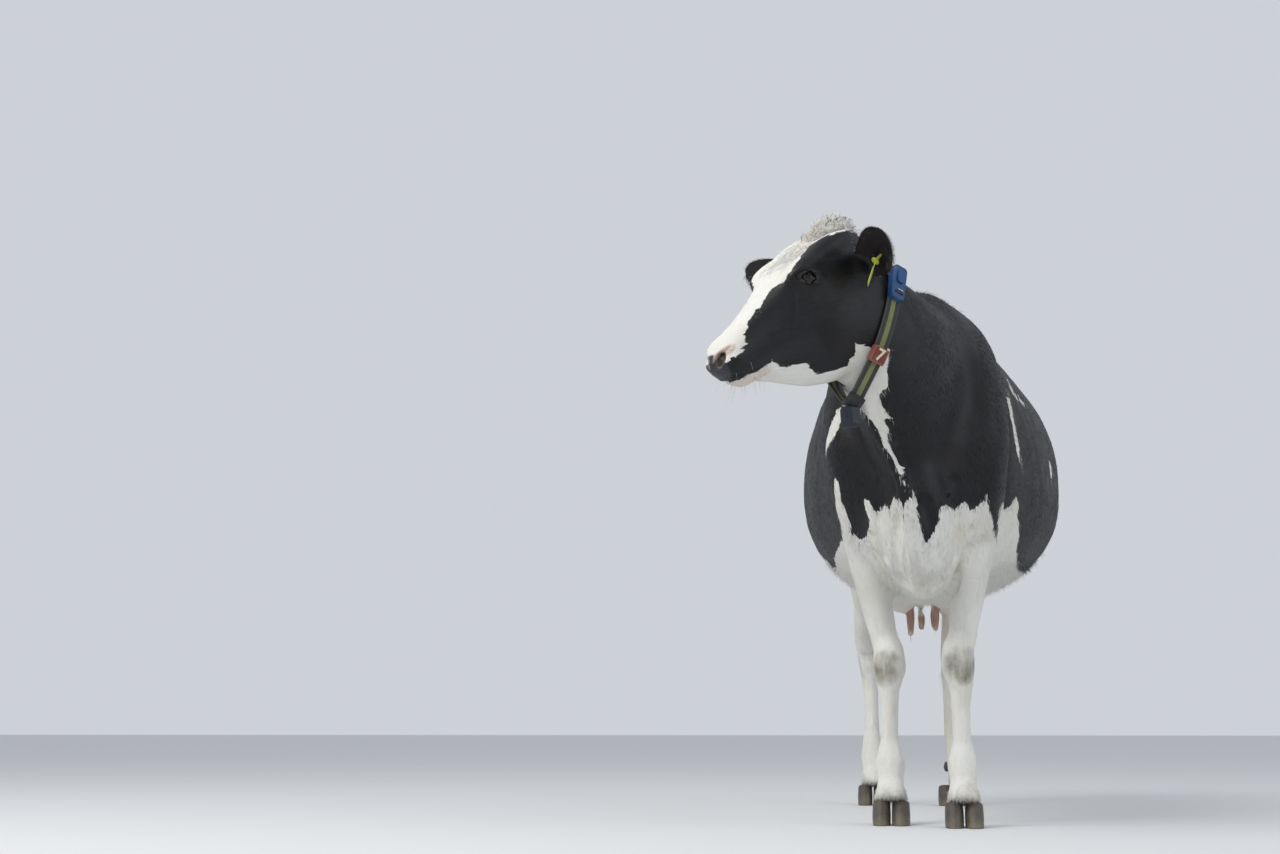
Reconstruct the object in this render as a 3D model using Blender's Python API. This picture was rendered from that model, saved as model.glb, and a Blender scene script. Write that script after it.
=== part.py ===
"""A life-size Holstein-Friesian dairy cow that stands with its head turned to its right, with a neck collar.

Metres, +Z up. The cow faces -Y, its left side is at +X, and it stands on the floor at z = 0.
The flesh is modelled as one body from lofted masses, then parted with thin cuts into named pieces.
"""

import math

import bmesh
import bpy
import numpy as np
from mathutils import Matrix, Vector

# ---------------------------------------------------------------- driving dimensions, in metres
WITHERS = 1.50  # height of the withers
HOOKS = 1.49  # height of the hip bones
CHEST_FLOOR = 0.625  # height of the sternum between the forelegs
BELLY_FLOOR = 0.645
BARREL_LEFT = 0.44  # half-width of the barrel on the side of the rumen
BARREL_RIGHT = 0.370
KNEE = 0.44  # height of the carpus
HOCK = 0.53
FETLOCK = 0.17
CORONET = 0.07
UDDER_FLOOR = 0.66

FORE_FEET = {"left": (0.100, -0.045), "right": (-0.094, 0.055)}  # where each fetlock stands over the floor
HIND_FEET = {"left": (0.086, 1.35), "right": (-0.186, 1.34)}

HEAD_AT = Vector((-0.192, -0.510, 1.530))  # middle of the poll
HEAD_YAW = math.radians(47)  # turned to its right
HEAD_PITCH = math.radians(37)  # muzzle below the poll
HEAD_ROLL = math.radians(4)
EYE = 0.021  # radius of the eyeball
EAR = 0.205  # length of an ear beyond its root
TEATS = {  # where each teat hangs and how low it reaches
    "left": (("front", 0.041, 1.05, 0.575), ("rear", 0.037, 1.20, 0.594)),
    "right": (("front", -0.041, 1.05, 0.560), ("rear", -0.006, 1.20, 0.588)),
}

CUT = 0.0004  # width of the cuts between pieces
VOXEL = 0.0075
SMOOTHING = 9
SIDES = (("left", 1), ("right", -1))
FLESH_TRIANGLES = 3420  # for the whole body before it is parted


# ---------------------------------------------------------------- shape tools
def smooth_rows(rows, steps):
    """More rows on a Catmull-Rom curve through the given ones."""
    rows = np.asarray(rows, float)
    padded = np.vstack([2 * rows[0] - rows[1], rows, 2 * rows[-1] - rows[-2]])
    made = []
    for i in range(1, len(padded) - 2):
        a, b, c, d = padded[i - 1 : i + 3]
        for k in range(steps):
            t = k / steps
            made.append(
                0.5 * (2 * b + (c - a) * t + (2 * a - 5 * b + 4 * c - d) * t**2 + (3 * b - a - 3 * c + d) * t**3)
            )
    made.append(rows[-1])
    return np.array(made)


def bridge(bm, rings):
    """A closed form through rings of points."""
    rings = [[bm.verts.new(p) for p in ring] for ring in rings]
    count = len(rings[0])
    faces = []
    for a, b in zip(rings, rings[1:]):
        for k in range(count):
            faces.append(bm.faces.new((a[k], a[(k + 1) % count], b[(k + 1) % count], b[k])))
    faces.append(bm.faces.new(rings[0][::-1]))
    faces.append(bm.faces.new(rings[-1]))
    bmesh.ops.recalc_face_normals(bm, faces=faces)


def loft(bm, rows, side=(1, 0, 0), up=(0, 0, 1), power=2.0, around=28, steps=4, place=None, square=None):
    """A closed form through oval sections. A row is x, y, z, then the reach to +side, -side, up and down.

    The sections lie across the path, or across the direction `square` when it is given.
    """
    place = place or Matrix.Identity(4)
    rows = smooth_rows(rows, steps)
    side, up = Vector(side), Vector(up)
    rings = []
    for i, row in enumerate(rows):
        ahead = Vector(rows[min(i + 1, len(rows) - 1)][:3]) - Vector(rows[max(i - 1, 0)][:3])
        ahead = Vector(square) if square else ahead.normalized()
        top = (up - up.dot(ahead) * ahead).normalized()
        out = ahead.cross(top)
        if out.dot(side) < 0:
            out.negate()
        ring = []
        for k in range(around):
            angle = 2 * math.pi * k / around
            c, s = (math.copysign(abs(v) ** (2 / power), v) for v in (math.cos(angle), math.sin(angle)))
            reach_side = row[3] if c > 0 else row[4]
            reach_up = row[5] if s > 0 else row[6]
            ring.append(place @ (Vector(row[:3]) + out * (c * reach_side) + top * (s * reach_up)))
        rings.append(ring)
    bridge(bm, rings)


def oval(x, y, z, wide, deep):
    """A row of a loft with the same reach to both sides."""
    return (x, y, z, wide, wide, deep, deep)


def ball(bm, at, radii, turn=None, place=None, finer=1):
    """An ellipsoid."""
    matrix = (place or Matrix.Identity(4)) @ Matrix.Translation(at) @ (turn or Matrix.Identity(4))
    matrix = matrix @ Matrix.Diagonal((*radii, 1))
    bmesh.ops.create_uvsphere(bm, u_segments=16 * finer, v_segments=10 * finer, radius=1, matrix=matrix)


def to_object(bm, name):
    mesh = bpy.data.meshes.new(name)
    bm.to_mesh(mesh)
    bm.free()
    obj = bpy.data.objects.new(name, mesh)
    bpy.context.scene.collection.objects.link(obj)
    return obj


def head_matrix():
    yaw = Matrix.Rotation(-HEAD_YAW, 4, "Z")
    pitch = Matrix.Rotation(HEAD_PITCH, 4, "X")
    roll = Matrix.Rotation(HEAD_ROLL, 4, "Y")
    return Matrix.Translation(HEAD_AT) @ yaw @ pitch @ roll


# ---------------------------------------------------------------- masses of the body
def add_trunk(bm):
    left, right = BARREL_LEFT, BARREL_RIGHT
    # x, y, z of the widest level, reach left, right, up, down
    rows = [
        (0, -0.26, 0.98, 0.11, 0.11, 0.20, 0.20),
        (0, -0.20, 1.00, 0.160, 0.160, 0.33, 0.33),
        (0, -0.08, 1.02, 0.20, 0.20, 0.43, 0.385),
        (0, 0.08, 1.02, 0.235, 0.225, WITHERS - 1.02, 1.02 - CHEST_FLOOR),
        (0, 0.28, 1.00, 0.315, 0.285, 0.475, 1.00 - CHEST_FLOOR - 0.01),
        (0, 0.50, 0.99, 0.39, 0.34, 0.465, 0.99 - BELLY_FLOOR + 0.01),
        (0.01, 0.74, 0.99, left - 0.01, right + 0.01, 0.47, 0.99 - BELLY_FLOOR),
        (0.01, 0.90, 1.02, 0.40, 0.36, 0.465, 1.02 - BELLY_FLOOR - 0.03),
        (0, 1.04, 1.10, 0.31, 0.30, HOOKS - 1.10 - 0.005, 0.34),
        (0, 1.20, 1.16, 0.245, 0.245, 0.33, 0.29),
        (0, 1.34, 1.20, 0.205, 0.205, 0.275, 0.23),
        (0, 1.42, 1.22, 0.170, 0.170, 0.235, 0.19),
        (0, 1.475, 1.25, 0.10, 0.10, 0.15, 0.13),
    ]
    loft(bm, rows, power=2.2, around=36, square=(0, 1, 0))
    for _, s in SIDES:
        ball(bm, (s * 0.168, 1.00, 1.335), (0.104, 0.17, 0.125))  # hook bone
        ball(bm, (s * 0.085, 1.385, 1.315), (0.082, 0.125, 0.105))  # pin bone
        ball(bm, (s * 0.135, -0.150, 0.99), (0.080, 0.095, 0.17))  # point of the shoulder
    brisket = [
        oval(-0.005, -0.19, 1.02, 0.04, 0.04),
        oval(-0.004, -0.24, 0.93, 0.068, 0.085),
        oval(0.000, -0.265, 0.84, 0.083, 0.090),
        oval(0.005, -0.22, 0.74, 0.090, 0.10),
        oval(0.008, -0.12, 0.675, 0.080, 0.075),
        oval(0.005, 0.04, 0.67, 0.080, 0.055),
        oval(0, 0.16, 0.69, 0.07, 0.05),
    ]
    loft(bm, brisket, up=(0, -1, 0))


def add_neck(bm):
    # x, y, z of the middle, reach left, right, up, down
    rows = [
        (0.00, 0.14, 1.10, 0.17, 0.17, 0.37, 0.34),
        (0.00, 0.00, 1.12, 0.182, 0.182, 0.36, 0.36),
        (-0.01, -0.15, 1.17, 0.155, 0.155, 0.285, 0.34),
        (-0.04, -0.28, 1.22, 0.128, 0.128, 0.22, 0.26),
        (-0.09, -0.375, 1.275, 0.108, 0.108, 0.18, 0.20),
        (-0.14, -0.44, 1.33, 0.098, 0.098, 0.155, 0.165),
        (-0.20, -0.51, 1.37, 0.075, 0.075, 0.11, 0.12),
    ]
    loft(bm, rows, power=2.1)
    dewlap = [
        oval(-0.150, -0.445, 1.14, 0.024, 0.055),
        oval(-0.110, -0.425, 1.03, 0.020, 0.05),
        oval(-0.060, -0.380, 0.93, 0.019, 0.045),
        oval(-0.022, -0.335, 0.81, 0.019, 0.045),
        oval(-0.003, -0.265, 0.70, 0.020, 0.045),
        oval(0.004, -0.17, 0.63, 0.022, 0.038),
        oval(0.006, -0.05, 0.62, 0.022, 0.02),
    ]
    loft(bm, dewlap, up=(0, -1, 0), around=20)


def add_foreleg(bm, s, foot):
    """From the shoulder blade to the pastern."""
    fx, fy = foot
    rows = [
        oval(s * 0.09, 0.12, 1.42, 0.05, 0.08),
        oval(s * 0.145, 0.06, 1.30, 0.07, 0.13),
        oval(s * 0.18, -0.04, 1.14, 0.070, 0.15),
        oval(s * 0.18, -0.09, 0.99, 0.070, 0.14),
        oval(s * 0.172, -0.04, 0.87, 0.066, 0.125),
        oval(0.85 * s * 0.165 + 0.15 * fx, 0.01, 0.77, 0.058, 0.098),
        oval(0.55 * s * 0.16 + 0.45 * fx, fy * 0.6 + 0.012, 0.64, 0.052, 0.068),
        oval(fx + s * 0.01, fy + 0.01, 0.51, 0.042, 0.049),
        oval(fx - s * 0.004, fy, KNEE + 0.03, 0.046, 0.050),
        oval(fx - s * 0.004, fy - 0.003, KNEE - 0.015, 0.0485, 0.054),
        oval(fx, fy, KNEE - 0.07, 0.035, 0.042),
        oval(fx, fy + 0.002, 0.30, 0.0275, 0.034),
        oval(fx, fy + 0.002, 0.225, 0.029, 0.035),
        oval(fx, fy, FETLOCK, 0.044, 0.047),
        oval(fx, fy - 0.018, 0.115, 0.038, 0.037),
        oval(fx, fy - 0.036, CORONET, 0.049, 0.050),
        oval(fx, fy - 0.046, 0.03, 0.050, 0.052),
    ]
    loft(bm, rows, up=(0, 1, 0), around=24)
    ball(bm, (s * 0.165, 0.075, 0.785), (0.04, 0.045, 0.06))  # elbow
    ball(bm, (fx + s * 0.008, fy + 0.045, KNEE), (0.018, 0.022, 0.035))  # back of the knee


def add_hindleg(bm, s, foot):
    fx, fy = foot
    rows = [
        oval(s * 0.10, 1.20, 1.36, 0.09, 0.17),
        oval(s * 0.13, 1.20, 1.21, 0.11, 0.235),
        oval(s * 0.15, 1.20, 1.05, 0.112, 0.26),
        oval(s * 0.162, 1.18, 0.90, 0.100, 0.235),
        oval(0.75 * s * 0.175 + 0.25 * fx, 1.20, 0.79, 0.080, 0.175),
        oval(0.45 * s * 0.18 + 0.55 * fx, fy - 0.085, 0.69, 0.056, 0.118),
        oval(fx + s * 0.014, fy - 0.015, HOCK + 0.065, 0.043, 0.082),
        oval(fx + s * 0.010, fy + 0.020, HOCK, 0.044, 0.064),
        oval(fx + s * 0.004, fy + 0.022, HOCK - 0.07, 0.036, 0.045),
        oval(fx, fy + 0.016, 0.37, 0.028, 0.034),
        oval(fx, fy + 0.008, 0.25, 0.029, 0.035),
        oval(fx, fy, FETLOCK, 0.042, 0.045),
        oval(fx, fy - 0.022, 0.115, 0.037, 0.037),
        oval(fx, fy - 0.042, CORONET, 0.047, 0.050),
        oval(fx, fy - 0.052, 0.03, 0.048, 0.052),
    ]
    loft(bm, rows, up=(0, 1, 0), around=24)
    tendon = [
        oval(fx + s * 0.012, fy + 0.078, HOCK + 0.01, 0.016, 0.022),
        oval(fx + s * 0.012, fy + 0.085, HOCK + 0.075, 0.021, 0.027),
        oval(fx * 0.6 + s * 0.075, fy + 0.055, HOCK + 0.16, 0.022, 0.036),
        oval(s * 0.14, fy + 0.02, 0.82, 0.05, 0.075),
        oval(s * 0.12, fy + 0.01, 0.98, 0.06, 0.09),
        oval(s * 0.10, fy + 0.01, 1.16, 0.06, 0.09),
    ]
    loft(bm, tendon, up=(0, 1, 0), around=20)
    ball(bm, (s * 0.165, 1.06, 0.83), (0.088, 0.135, 0.14))  # stifle


def add_udder(bm):
    for s in (1, -1):
        ball(bm, (s * 0.075, 1.05, 0.775 + s * 0.006), (0.10, 0.15, 0.134))
        ball(bm, (s * 0.072, 1.22, 0.79), (0.095, 0.14, 0.14))
        ball(bm, (s * 0.05, 1.29, 0.91), (0.09, 0.11, 0.16))
    ball(bm, (0, 1.08, 0.76), (0.10, 0.20, 0.09))


def add_tail(bm):
    rows = [
        oval(0.00, 1.34, 1.425, 0.060, 0.05),
        oval(0.00, 1.45, 1.430, 0.042, 0.038),
        oval(0.015, 1.520, 1.375, 0.029, 0.029),
        oval(0.045, 1.548, 1.25, 0.023, 0.023),
        oval(0.070, 1.552, 1.05, 0.019, 0.019),
        oval(0.085, 1.548, 0.85, 0.017, 0.017),
        oval(0.091, 1.546, 0.73, 0.027, 0.025),
        oval(0.094, 1.545, 0.60, 0.042, 0.038),
        oval(0.095, 1.543, 0.47, 0.036, 0.033),
        oval(0.095, 1.541, 0.37, 0.012, 0.012),
    ]
    loft(bm, rows, up=(0, 1, 0), around=20)


def add_head(bm, place):
    """In the head's own frame: the poll at 0, the muzzle towards -Y, the forehead at the top."""

    def along(rows, power, around=32):
        full = [(0, -u, mid, wide, wide, up, down) for u, mid, wide, up, down in rows]
        loft(bm, full, power=power, around=around, place=place)

    skull = [  # distance from the poll, level of the widest place, half-width, reach up and down
        (-0.03, -0.075, 0.062, 0.065, 0.07),
        (0.02, -0.08, 0.082, 0.092, 0.09),
        (0.10, -0.08, 0.094, 0.098, 0.10),
        (0.205, -0.08, 0.104, 0.092, 0.10),
        (0.29, -0.085, 0.080, 0.082, 0.08),
        (0.37, -0.090, 0.061, 0.066, 0.062),
        (0.45, -0.094, 0.054, 0.054, 0.052),
        (0.515, -0.096, 0.058, 0.050, 0.046),
    ]
    along(skull, 2.5)
    jaw = [
        (0.05, -0.18, 0.064, 0.08, 0.13),
        (0.11, -0.19, 0.078, 0.09, 0.145),
        (0.19, -0.19, 0.078, 0.09, 0.142),
        (0.28, -0.18, 0.061, 0.07, 0.120),
        (0.37, -0.16, 0.047, 0.045, 0.083),
        (0.45, -0.147, 0.043, 0.035, 0.045),
        (0.505, -0.140, 0.037, 0.026, 0.032),
        (0.535, -0.137, 0.026, 0.018, 0.022),
    ]
    along(jaw, 2.25)
    ball(bm, (0, -0.508, -0.100), (0.062, 0.050, 0.050), place=place)  # nose and upper lip
    ball(bm, (0, -0.485, -0.160), (0.038, 0.040, 0.028), place=place)  # chin
    ball(bm, (0, -0.015, -0.002), (0.066, 0.070, 0.045), place=place)  # poll and its tuft
    for s in (1, -1):
        ball(bm, (s * 0.066, -0.208, -0.012), (0.036, 0.078, 0.029), place=place)  # brow over the eye
        ball(bm, (s * 0.064, -0.115, -0.012), (0.031, 0.105, 0.033), place=place)  # ridge from the brow to the poll
        ball(bm, (s * 0.056, -0.150, -0.195), (0.042, 0.11, 0.10), place=place)  # cheek
        ball(bm, (s * 0.066, -0.058, -0.102), (0.042, 0.046, 0.050), place=place)  # root of the ear


# ---------------------------------------------------------------- parts beside the flesh
def ear_frame(side):
    """The ear's directions in the head's frame: along it, the way it opens, its rise, and its root."""
    axis = Vector((0.88, -0.25, 0.47) if side > 0 else (-0.84, -0.26, 0.32)).normalized()
    ahead = Vector((0, -1, -0.12))
    ahead = (ahead - ahead.dot(axis) * axis).normalized()
    rise = axis.cross(ahead) * side
    if rise.z < 0:
        rise.negate()
    if side < 0:  # this ear is turned a little further open
        turn = math.radians(20)
        ahead, rise = ahead * math.cos(turn) + rise * math.sin(turn), rise * math.cos(turn) - ahead * math.sin(turn)
    return axis, ahead, rise, Vector((side * 0.088, -0.055, -0.098))


def leaf(place, side):
    """An ear: a cupped leaf that opens towards the muzzle. side is 1 for the left ear."""
    axis, ahead, rise, root = ear_frame(side)
    # distance along the ear, half-width, depth of the cup, thickness, lean towards the tip
    rows = [
        (-0.012, 0.029, 0.018, 0.018, 0.0),
        (0.020, 0.042, 0.025, 0.016, -0.010),
        (0.065, 0.054, 0.028, 0.012, -0.013),
        (0.115, 0.054, 0.024, 0.010, -0.008),
        (0.158, 0.046, 0.016, 0.009, -0.002),
        (0.189, 0.030, 0.008, 0.008, 0.002),
        (EAR, 0.011, 0.002, 0.006, 0.003),
    ]
    rows = smooth_rows(rows, 2)
    across = 6
    rings = []
    for along, half, cup, thick, lean in rows:
        inner, outer = [], []
        for k in range(across):
            t = -1 + 2 * k / (across - 1)
            middle = root + axis * along + rise * (half * t + lean) - ahead * (cup * (1 - t * t))
            wall = thick * (1 - 0.62 * t * t)
            inner.append(place @ (middle + ahead * wall / 2))
            outer.append(place @ (middle - ahead * wall / 2))
        rings.append(inner + outer[::-1])
    bm = bmesh.new()
    bridge(bm, rings)
    return to_object(bm, "ear_left" if side > 0 else "ear_right")


def claw(name, x, y):
    """One horn claw; its top is trimmed along the coronet later."""
    rows = [
        (x, y, 0.0, 0.0245, 0.0245, 0.052, 0.066),
        (x, y + 0.010, 0.028, 0.0250, 0.0250, 0.047, 0.056),
        (x, y + 0.024, 0.062, 0.0235, 0.0235, 0.038, 0.042),
        (x, y + 0.036, 0.100, 0.0220, 0.0220, 0.028, 0.030),
    ]
    bm = bmesh.new()
    loft(bm, rows, up=(0, 1, 0), power=2.3, around=12, steps=1, square=(0, 0, 1))
    return to_object(bm, name)


def tag(place):
    """The flag tag that hangs from a stud in the left ear."""
    axis, ahead, rise, root = ear_frame(1)
    spot = root + axis * 0.074 - rise * 0.023 - ahead * 0.016
    spot, ahead = place @ spot, place.to_3x3() @ ahead
    down = Vector((-0.33, 0.04, -0.94)).normalized()
    face = Vector((-0.93, -0.05, 0.33))
    face = (face - face.dot(down) * down).normalized()
    across = face.cross(down)
    outline = [(-0.006, 0.0), (-0.008, 0.014), (-0.024, 0.024), (-0.026, 0.030), (-0.026, 0.060), (-0.022, 0.065)]
    outline += [(-x, y) for x, y in outline[::-1]]
    front = spot + ahead * 0.016
    bm = bmesh.new()
    rings = [[front + across * x + down * y + face * t for x, y in outline] for t in (-0.0009, 0.0009)]
    bridge(bm, rings)
    plate = to_object(bm, "ear_tag")
    bm = bmesh.new()
    turn = ahead.to_track_quat("Z", "Y").to_matrix().to_4x4()
    for at, radius, length in ((0.0, 0.0035, 0.040), (-0.021, 0.0105, 0.003), (0.019, 0.0105, 0.004)):
        bmesh.ops.create_cone(
            bm,
            cap_ends=True,
            segments=12,
            radius1=radius,
            radius2=radius,
            depth=length,
            matrix=Matrix.Translation(spot + ahead * at) @ turn,
        )
    stud = to_object(bm, "stud")
    boolean(plate, stud, "UNION")
    drop(stud)
    return plate


def teat(name, x, y, tip):
    rows = [oval(x, y, tip, 0.006, 0.006), oval(x, y, tip + 0.005, 0.0110, 0.0110)]
    rows += [oval(x, y, tip + 0.03, 0.0135, 0.0135), oval(x, y, 0.69, 0.0175, 0.0175)]
    bm = bmesh.new()
    loft(bm, rows, up=(0, 1, 0), around=10, steps=1)
    return to_object(bm, name)


def round_box(name, size, frame, edge=0.004):
    """A block with rounded edges in its own frame."""
    bm = bmesh.new()
    bmesh.ops.create_cube(bm, size=1, matrix=Matrix.Diagonal((*size, 1)))
    bmesh.ops.bevel(bm, geom=bm.edges[:], offset=edge, segments=1, affect="EDGES", profile=0.5)
    bmesh.ops.transform(bm, matrix=frame, verts=bm.verts)
    return to_object(bm, name)


class Collar:
    """The strap's loop around the neck, found from the flesh it lies on."""

    middle = Vector((-0.130, -0.440, 1.250))
    forward = Vector((-0.680, -0.600, 0.300)).normalized()  # along the neck
    width, thick, clear = 0.040, 0.0045, 0.004
    slack = 0.020  # how far the loop hangs below the neck
    steps = 42

    def __init__(self, flesh):
        self.up = (Vector((0, 0, 1)) - self.forward.z * self.forward).normalized()
        self.left = self.forward.cross(self.up)
        if self.left.x < 0:
            self.left.negate()
        points = []
        for shift in (-0.5, 0.0, 0.5):
            level = self.middle + self.forward * (shift * self.width)
            bm = bmesh.new()
            bm.from_mesh(flesh.data)
            cut = bmesh.ops.bisect_plane(
                bm, geom=bm.verts[:] + bm.edges[:] + bm.faces[:], plane_co=level, plane_no=self.forward
            )
            for item in cut["geom_cut"]:
                if isinstance(item, bmesh.types.BMVert):
                    off = item.co - self.middle
                    if off.length < 0.25:
                        points.append((off.dot(self.left), off.dot(self.up)))
            bm.free()
        points = np.array(points)
        lowest = points[points[:, 1].argmin()]
        points = np.vstack([points, lowest - (0, self.slack)])
        angles = np.linspace(0, 2 * math.pi, 720, endpoint=False)
        facing = np.stack([np.cos(angles), np.sin(angles)], 1)
        reach = (points @ facing.T).max(0) + self.clear
        slope = (np.roll(reach, -1) - np.roll(reach, 1)) / (2 * (angles[1] - angles[0]))
        hull = facing * reach[:, None] + np.stack([-facing[:, 1], facing[:, 0]], 1) * slope[:, None]
        for _ in range(60):
            hull = (np.roll(hull, 1, 0) + 2 * hull + np.roll(hull, -1, 0)) / 4
        legs = np.linalg.norm(np.roll(hull, -1, 0) - hull, axis=1)
        along = np.concatenate([[0], np.cumsum(legs)])
        closed = np.vstack([hull, hull[:1]])
        at = np.linspace(0, along[-1], self.steps, endpoint=False)
        self.loop = np.stack([np.interp(at, along, closed[:, i]) for i in range(2)], 1)
        self.length = along[-1]

    def at(self, part, out=0.0):
        """A frame on the loop: x along the strap, y out of the neck, z along the neck. part goes from 0 to 1."""
        n = self.steps
        place = part * n
        i, t = int(place) % n, place - int(place)
        pick = lambda k: Vector(self.loop[k % n])
        spot = pick(i) * (1 - t) + pick(i + 1) * t
        run = (pick(i + 1) - pick(i)).lerp(pick(i + 2) - pick(i - 1), 0.5).normalized()
        run3 = self.left * run.x + self.up * run.y
        normal = run3.cross(self.forward)
        if normal.dot(self.left * spot.x + self.up * spot.y) < 0:
            normal.negate()
        where = self.middle + self.left * spot.x + self.up * spot.y + normal * out
        frame = Matrix.Identity(4)
        for k, axis in enumerate((run3, normal, self.forward)):
            frame.col[k][:3] = axis
        frame.translation = where
        return frame

    def band(self, name, width, inner, outer, parts):
        """A closed ring of strap, or a piece of it between two places."""
        ends = parts[1] - parts[0] < 0.999
        count = max(4, round((parts[1] - parts[0]) * self.steps))
        rings = []
        for k in range(count + (1 if ends else 0)):
            frame = self.at(parts[0] + (parts[1] - parts[0]) * k / count)
            corners = ((inner, -width / 2), (outer, -width / 2), (outer, width / 2), (inner, width / 2))
            rings.append([frame @ Vector((0, y, z)) for y, z in corners])
        bm = bmesh.new()
        if ends:
            bridge(bm, rings)
        else:
            rings = [[bm.verts.new(p) for p in ring] for ring in rings]
            for a, b in zip(rings, rings[1:] + rings[:1]):
                for k in range(4):
                    bm.faces.new((a[k], a[(k + 1) % 4], b[(k + 1) % 4], b[k]))
            bmesh.ops.recalc_face_normals(bm, faces=bm.faces)
        return to_object(bm, name)


def add_collar(nodes, collar):
    thick = collar.thick
    nodes["collar_strap"] = collar.band("collar_strap", collar.width, 0.0, thick, (0, 1))
    seat = collar.band("seat", collar.width + 0.0008, -0.0004, thick + 0.0004, (0, 1))
    # place along the strap, length, width, and the levels of its top and bottom over the strap's inside
    fittings = (
        ("collar_transponder", 0.095, 0.098, 0.044, 0.021, -0.0030),
        ("collar_number", 0.898, 0.043, 0.046, 0.009, -0.0030),
        ("collar_keeper", 0.772, 0.036, 0.046, 0.007, -0.0030),
    )
    for name, part, length, width, high, low in fittings:
        frame = collar.at(part, (thick + high + low) / 2)
        size = (length, thick + high - low, width)
        block = round_box(name, size, frame, 0.0085 if name == "collar_transponder" else 0.004)
        nodes[name] = boolean(block, seat, "DIFFERENCE")
    # the weight hangs under the strap's lowest place
    frame = collar.at(0.750, 0.0)
    spin = Matrix.Identity(4)
    down = Vector((0.05, 0.0, -1.0)).normalized()
    across = down.cross(collar.forward).normalized()
    for k, axis in enumerate((across, down, across.cross(down))):
        spin.col[k][:3] = axis
    spin.translation = frame.translation + down * (thick + 0.0005 + 0.028)
    weight = nodes["collar_weight"] = round_box("collar_weight", (0.046, 0.056, 0.034), spin, 0.009)
    boolean(weight, seat, "DIFFERENCE")
    drop(seat)
    seat = inflated(nodes["collar_keeper"])
    boolean(weight, seat, "DIFFERENCE")
    drop(seat)


# ---------------------------------------------------------------- cutting and fitting
def bake(obj):
    """Replace an object's mesh by the one its modifiers make."""
    depsgraph = bpy.context.evaluated_depsgraph_get()
    mesh = bpy.data.meshes.new_from_object(obj.evaluated_get(depsgraph))
    obj.modifiers.clear()
    obj.data = mesh
    return obj


def copy_of(obj, name):
    made = obj.copy()
    made.data = obj.data.copy()
    made.name = made.data.name = name
    bpy.context.scene.collection.objects.link(made)
    return made


def drop(obj):
    bpy.data.objects.remove(obj)


def boolean(obj, cutter, operation):
    mod = obj.modifiers.new("cut", "BOOLEAN")
    mod.use_self = operation == "UNION"
    mod.operation, mod.solver, mod.object = operation, "EXACT", cutter
    bake(obj)
    largest_piece(obj)
    return obj


def largest_piece(obj):
    """Keep only the largest connected body of a mesh."""
    bm = bmesh.new()
    bm.from_mesh(obj.data)
    bm.verts.ensure_lookup_table()
    seen, pieces = set(), []
    for seed in bm.verts:
        if seed.index in seen:
            continue
        stack, piece = [seed], []
        seen.add(seed.index)
        while stack:
            vert = stack.pop()
            piece.append(vert)
            for edge in vert.link_edges:
                other = edge.other_vert(vert)
                if other.index not in seen:
                    seen.add(other.index)
                    stack.append(other)
        pieces.append(piece)
    pieces.sort(key=len)
    bmesh.ops.delete(bm, geom=[v for piece in pieces[:-1] for v in piece], context="VERTS")
    bm.to_mesh(obj.data)
    bm.free()


def inflated(obj, by=CUT):
    """A slightly larger copy, to cut the seat a piece sits in."""
    made = copy_of(obj, obj.name + "_seat")
    bm = bmesh.new()
    bm.from_mesh(made.data)
    bm.normal_update()
    for vert, normal in [(v, v.normal.copy()) for v in bm.verts]:
        vert.co += normal * by * 1.3
    bm.to_mesh(made.data)
    bm.free()
    return made


def slab(name, middle, half, turn=None, place=None):
    """A box given by its middle and half sizes."""
    bm = bmesh.new()
    matrix = (place or Matrix.Identity(4)) @ Matrix.Translation(middle) @ (turn or Matrix.Identity(4))
    bmesh.ops.create_cube(bm, size=2, matrix=matrix @ Matrix.Diagonal((*half, 1)))
    return to_object(bm, name)


def part_off(rest, region, grown, name):
    """Cut the piece inside `region` from `rest`; `grown` is the region with the cut's width added."""
    piece = boolean(copy_of(rest, name), region, "INTERSECT")
    boolean(rest, grown, "DIFFERENCE")
    drop(region)
    drop(grown)
    return piece


def region_pair(middle, half, turn=None, place=None):
    more = tuple(h + CUT for h in half)
    return slab("region", middle, half, turn, place), slab("grown", middle, more, turn, place)


def thin_out(obj, triangles, keep=None):
    """Fewer triangles; none are taken from the head when its frame is given as `keep`."""
    now = sum(len(p.vertices) - 2 for p in obj.data.polygons)
    mod = obj.modifiers.new("thin", "DECIMATE")
    mod.ratio = triangles / now
    if keep:
        inverse = keep.inverted()
        group = obj.vertex_groups.new(name="thinned")
        for vert in obj.data.vertices:
            group.add([vert.index], 0.0 if (inverse @ vert.co).y < 0.03 and vert.co.z > 0.9 else 1.0, "REPLACE")
        mod.vertex_group = "thinned"
    bake(obj)
    obj.vertex_groups.clear()


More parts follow.
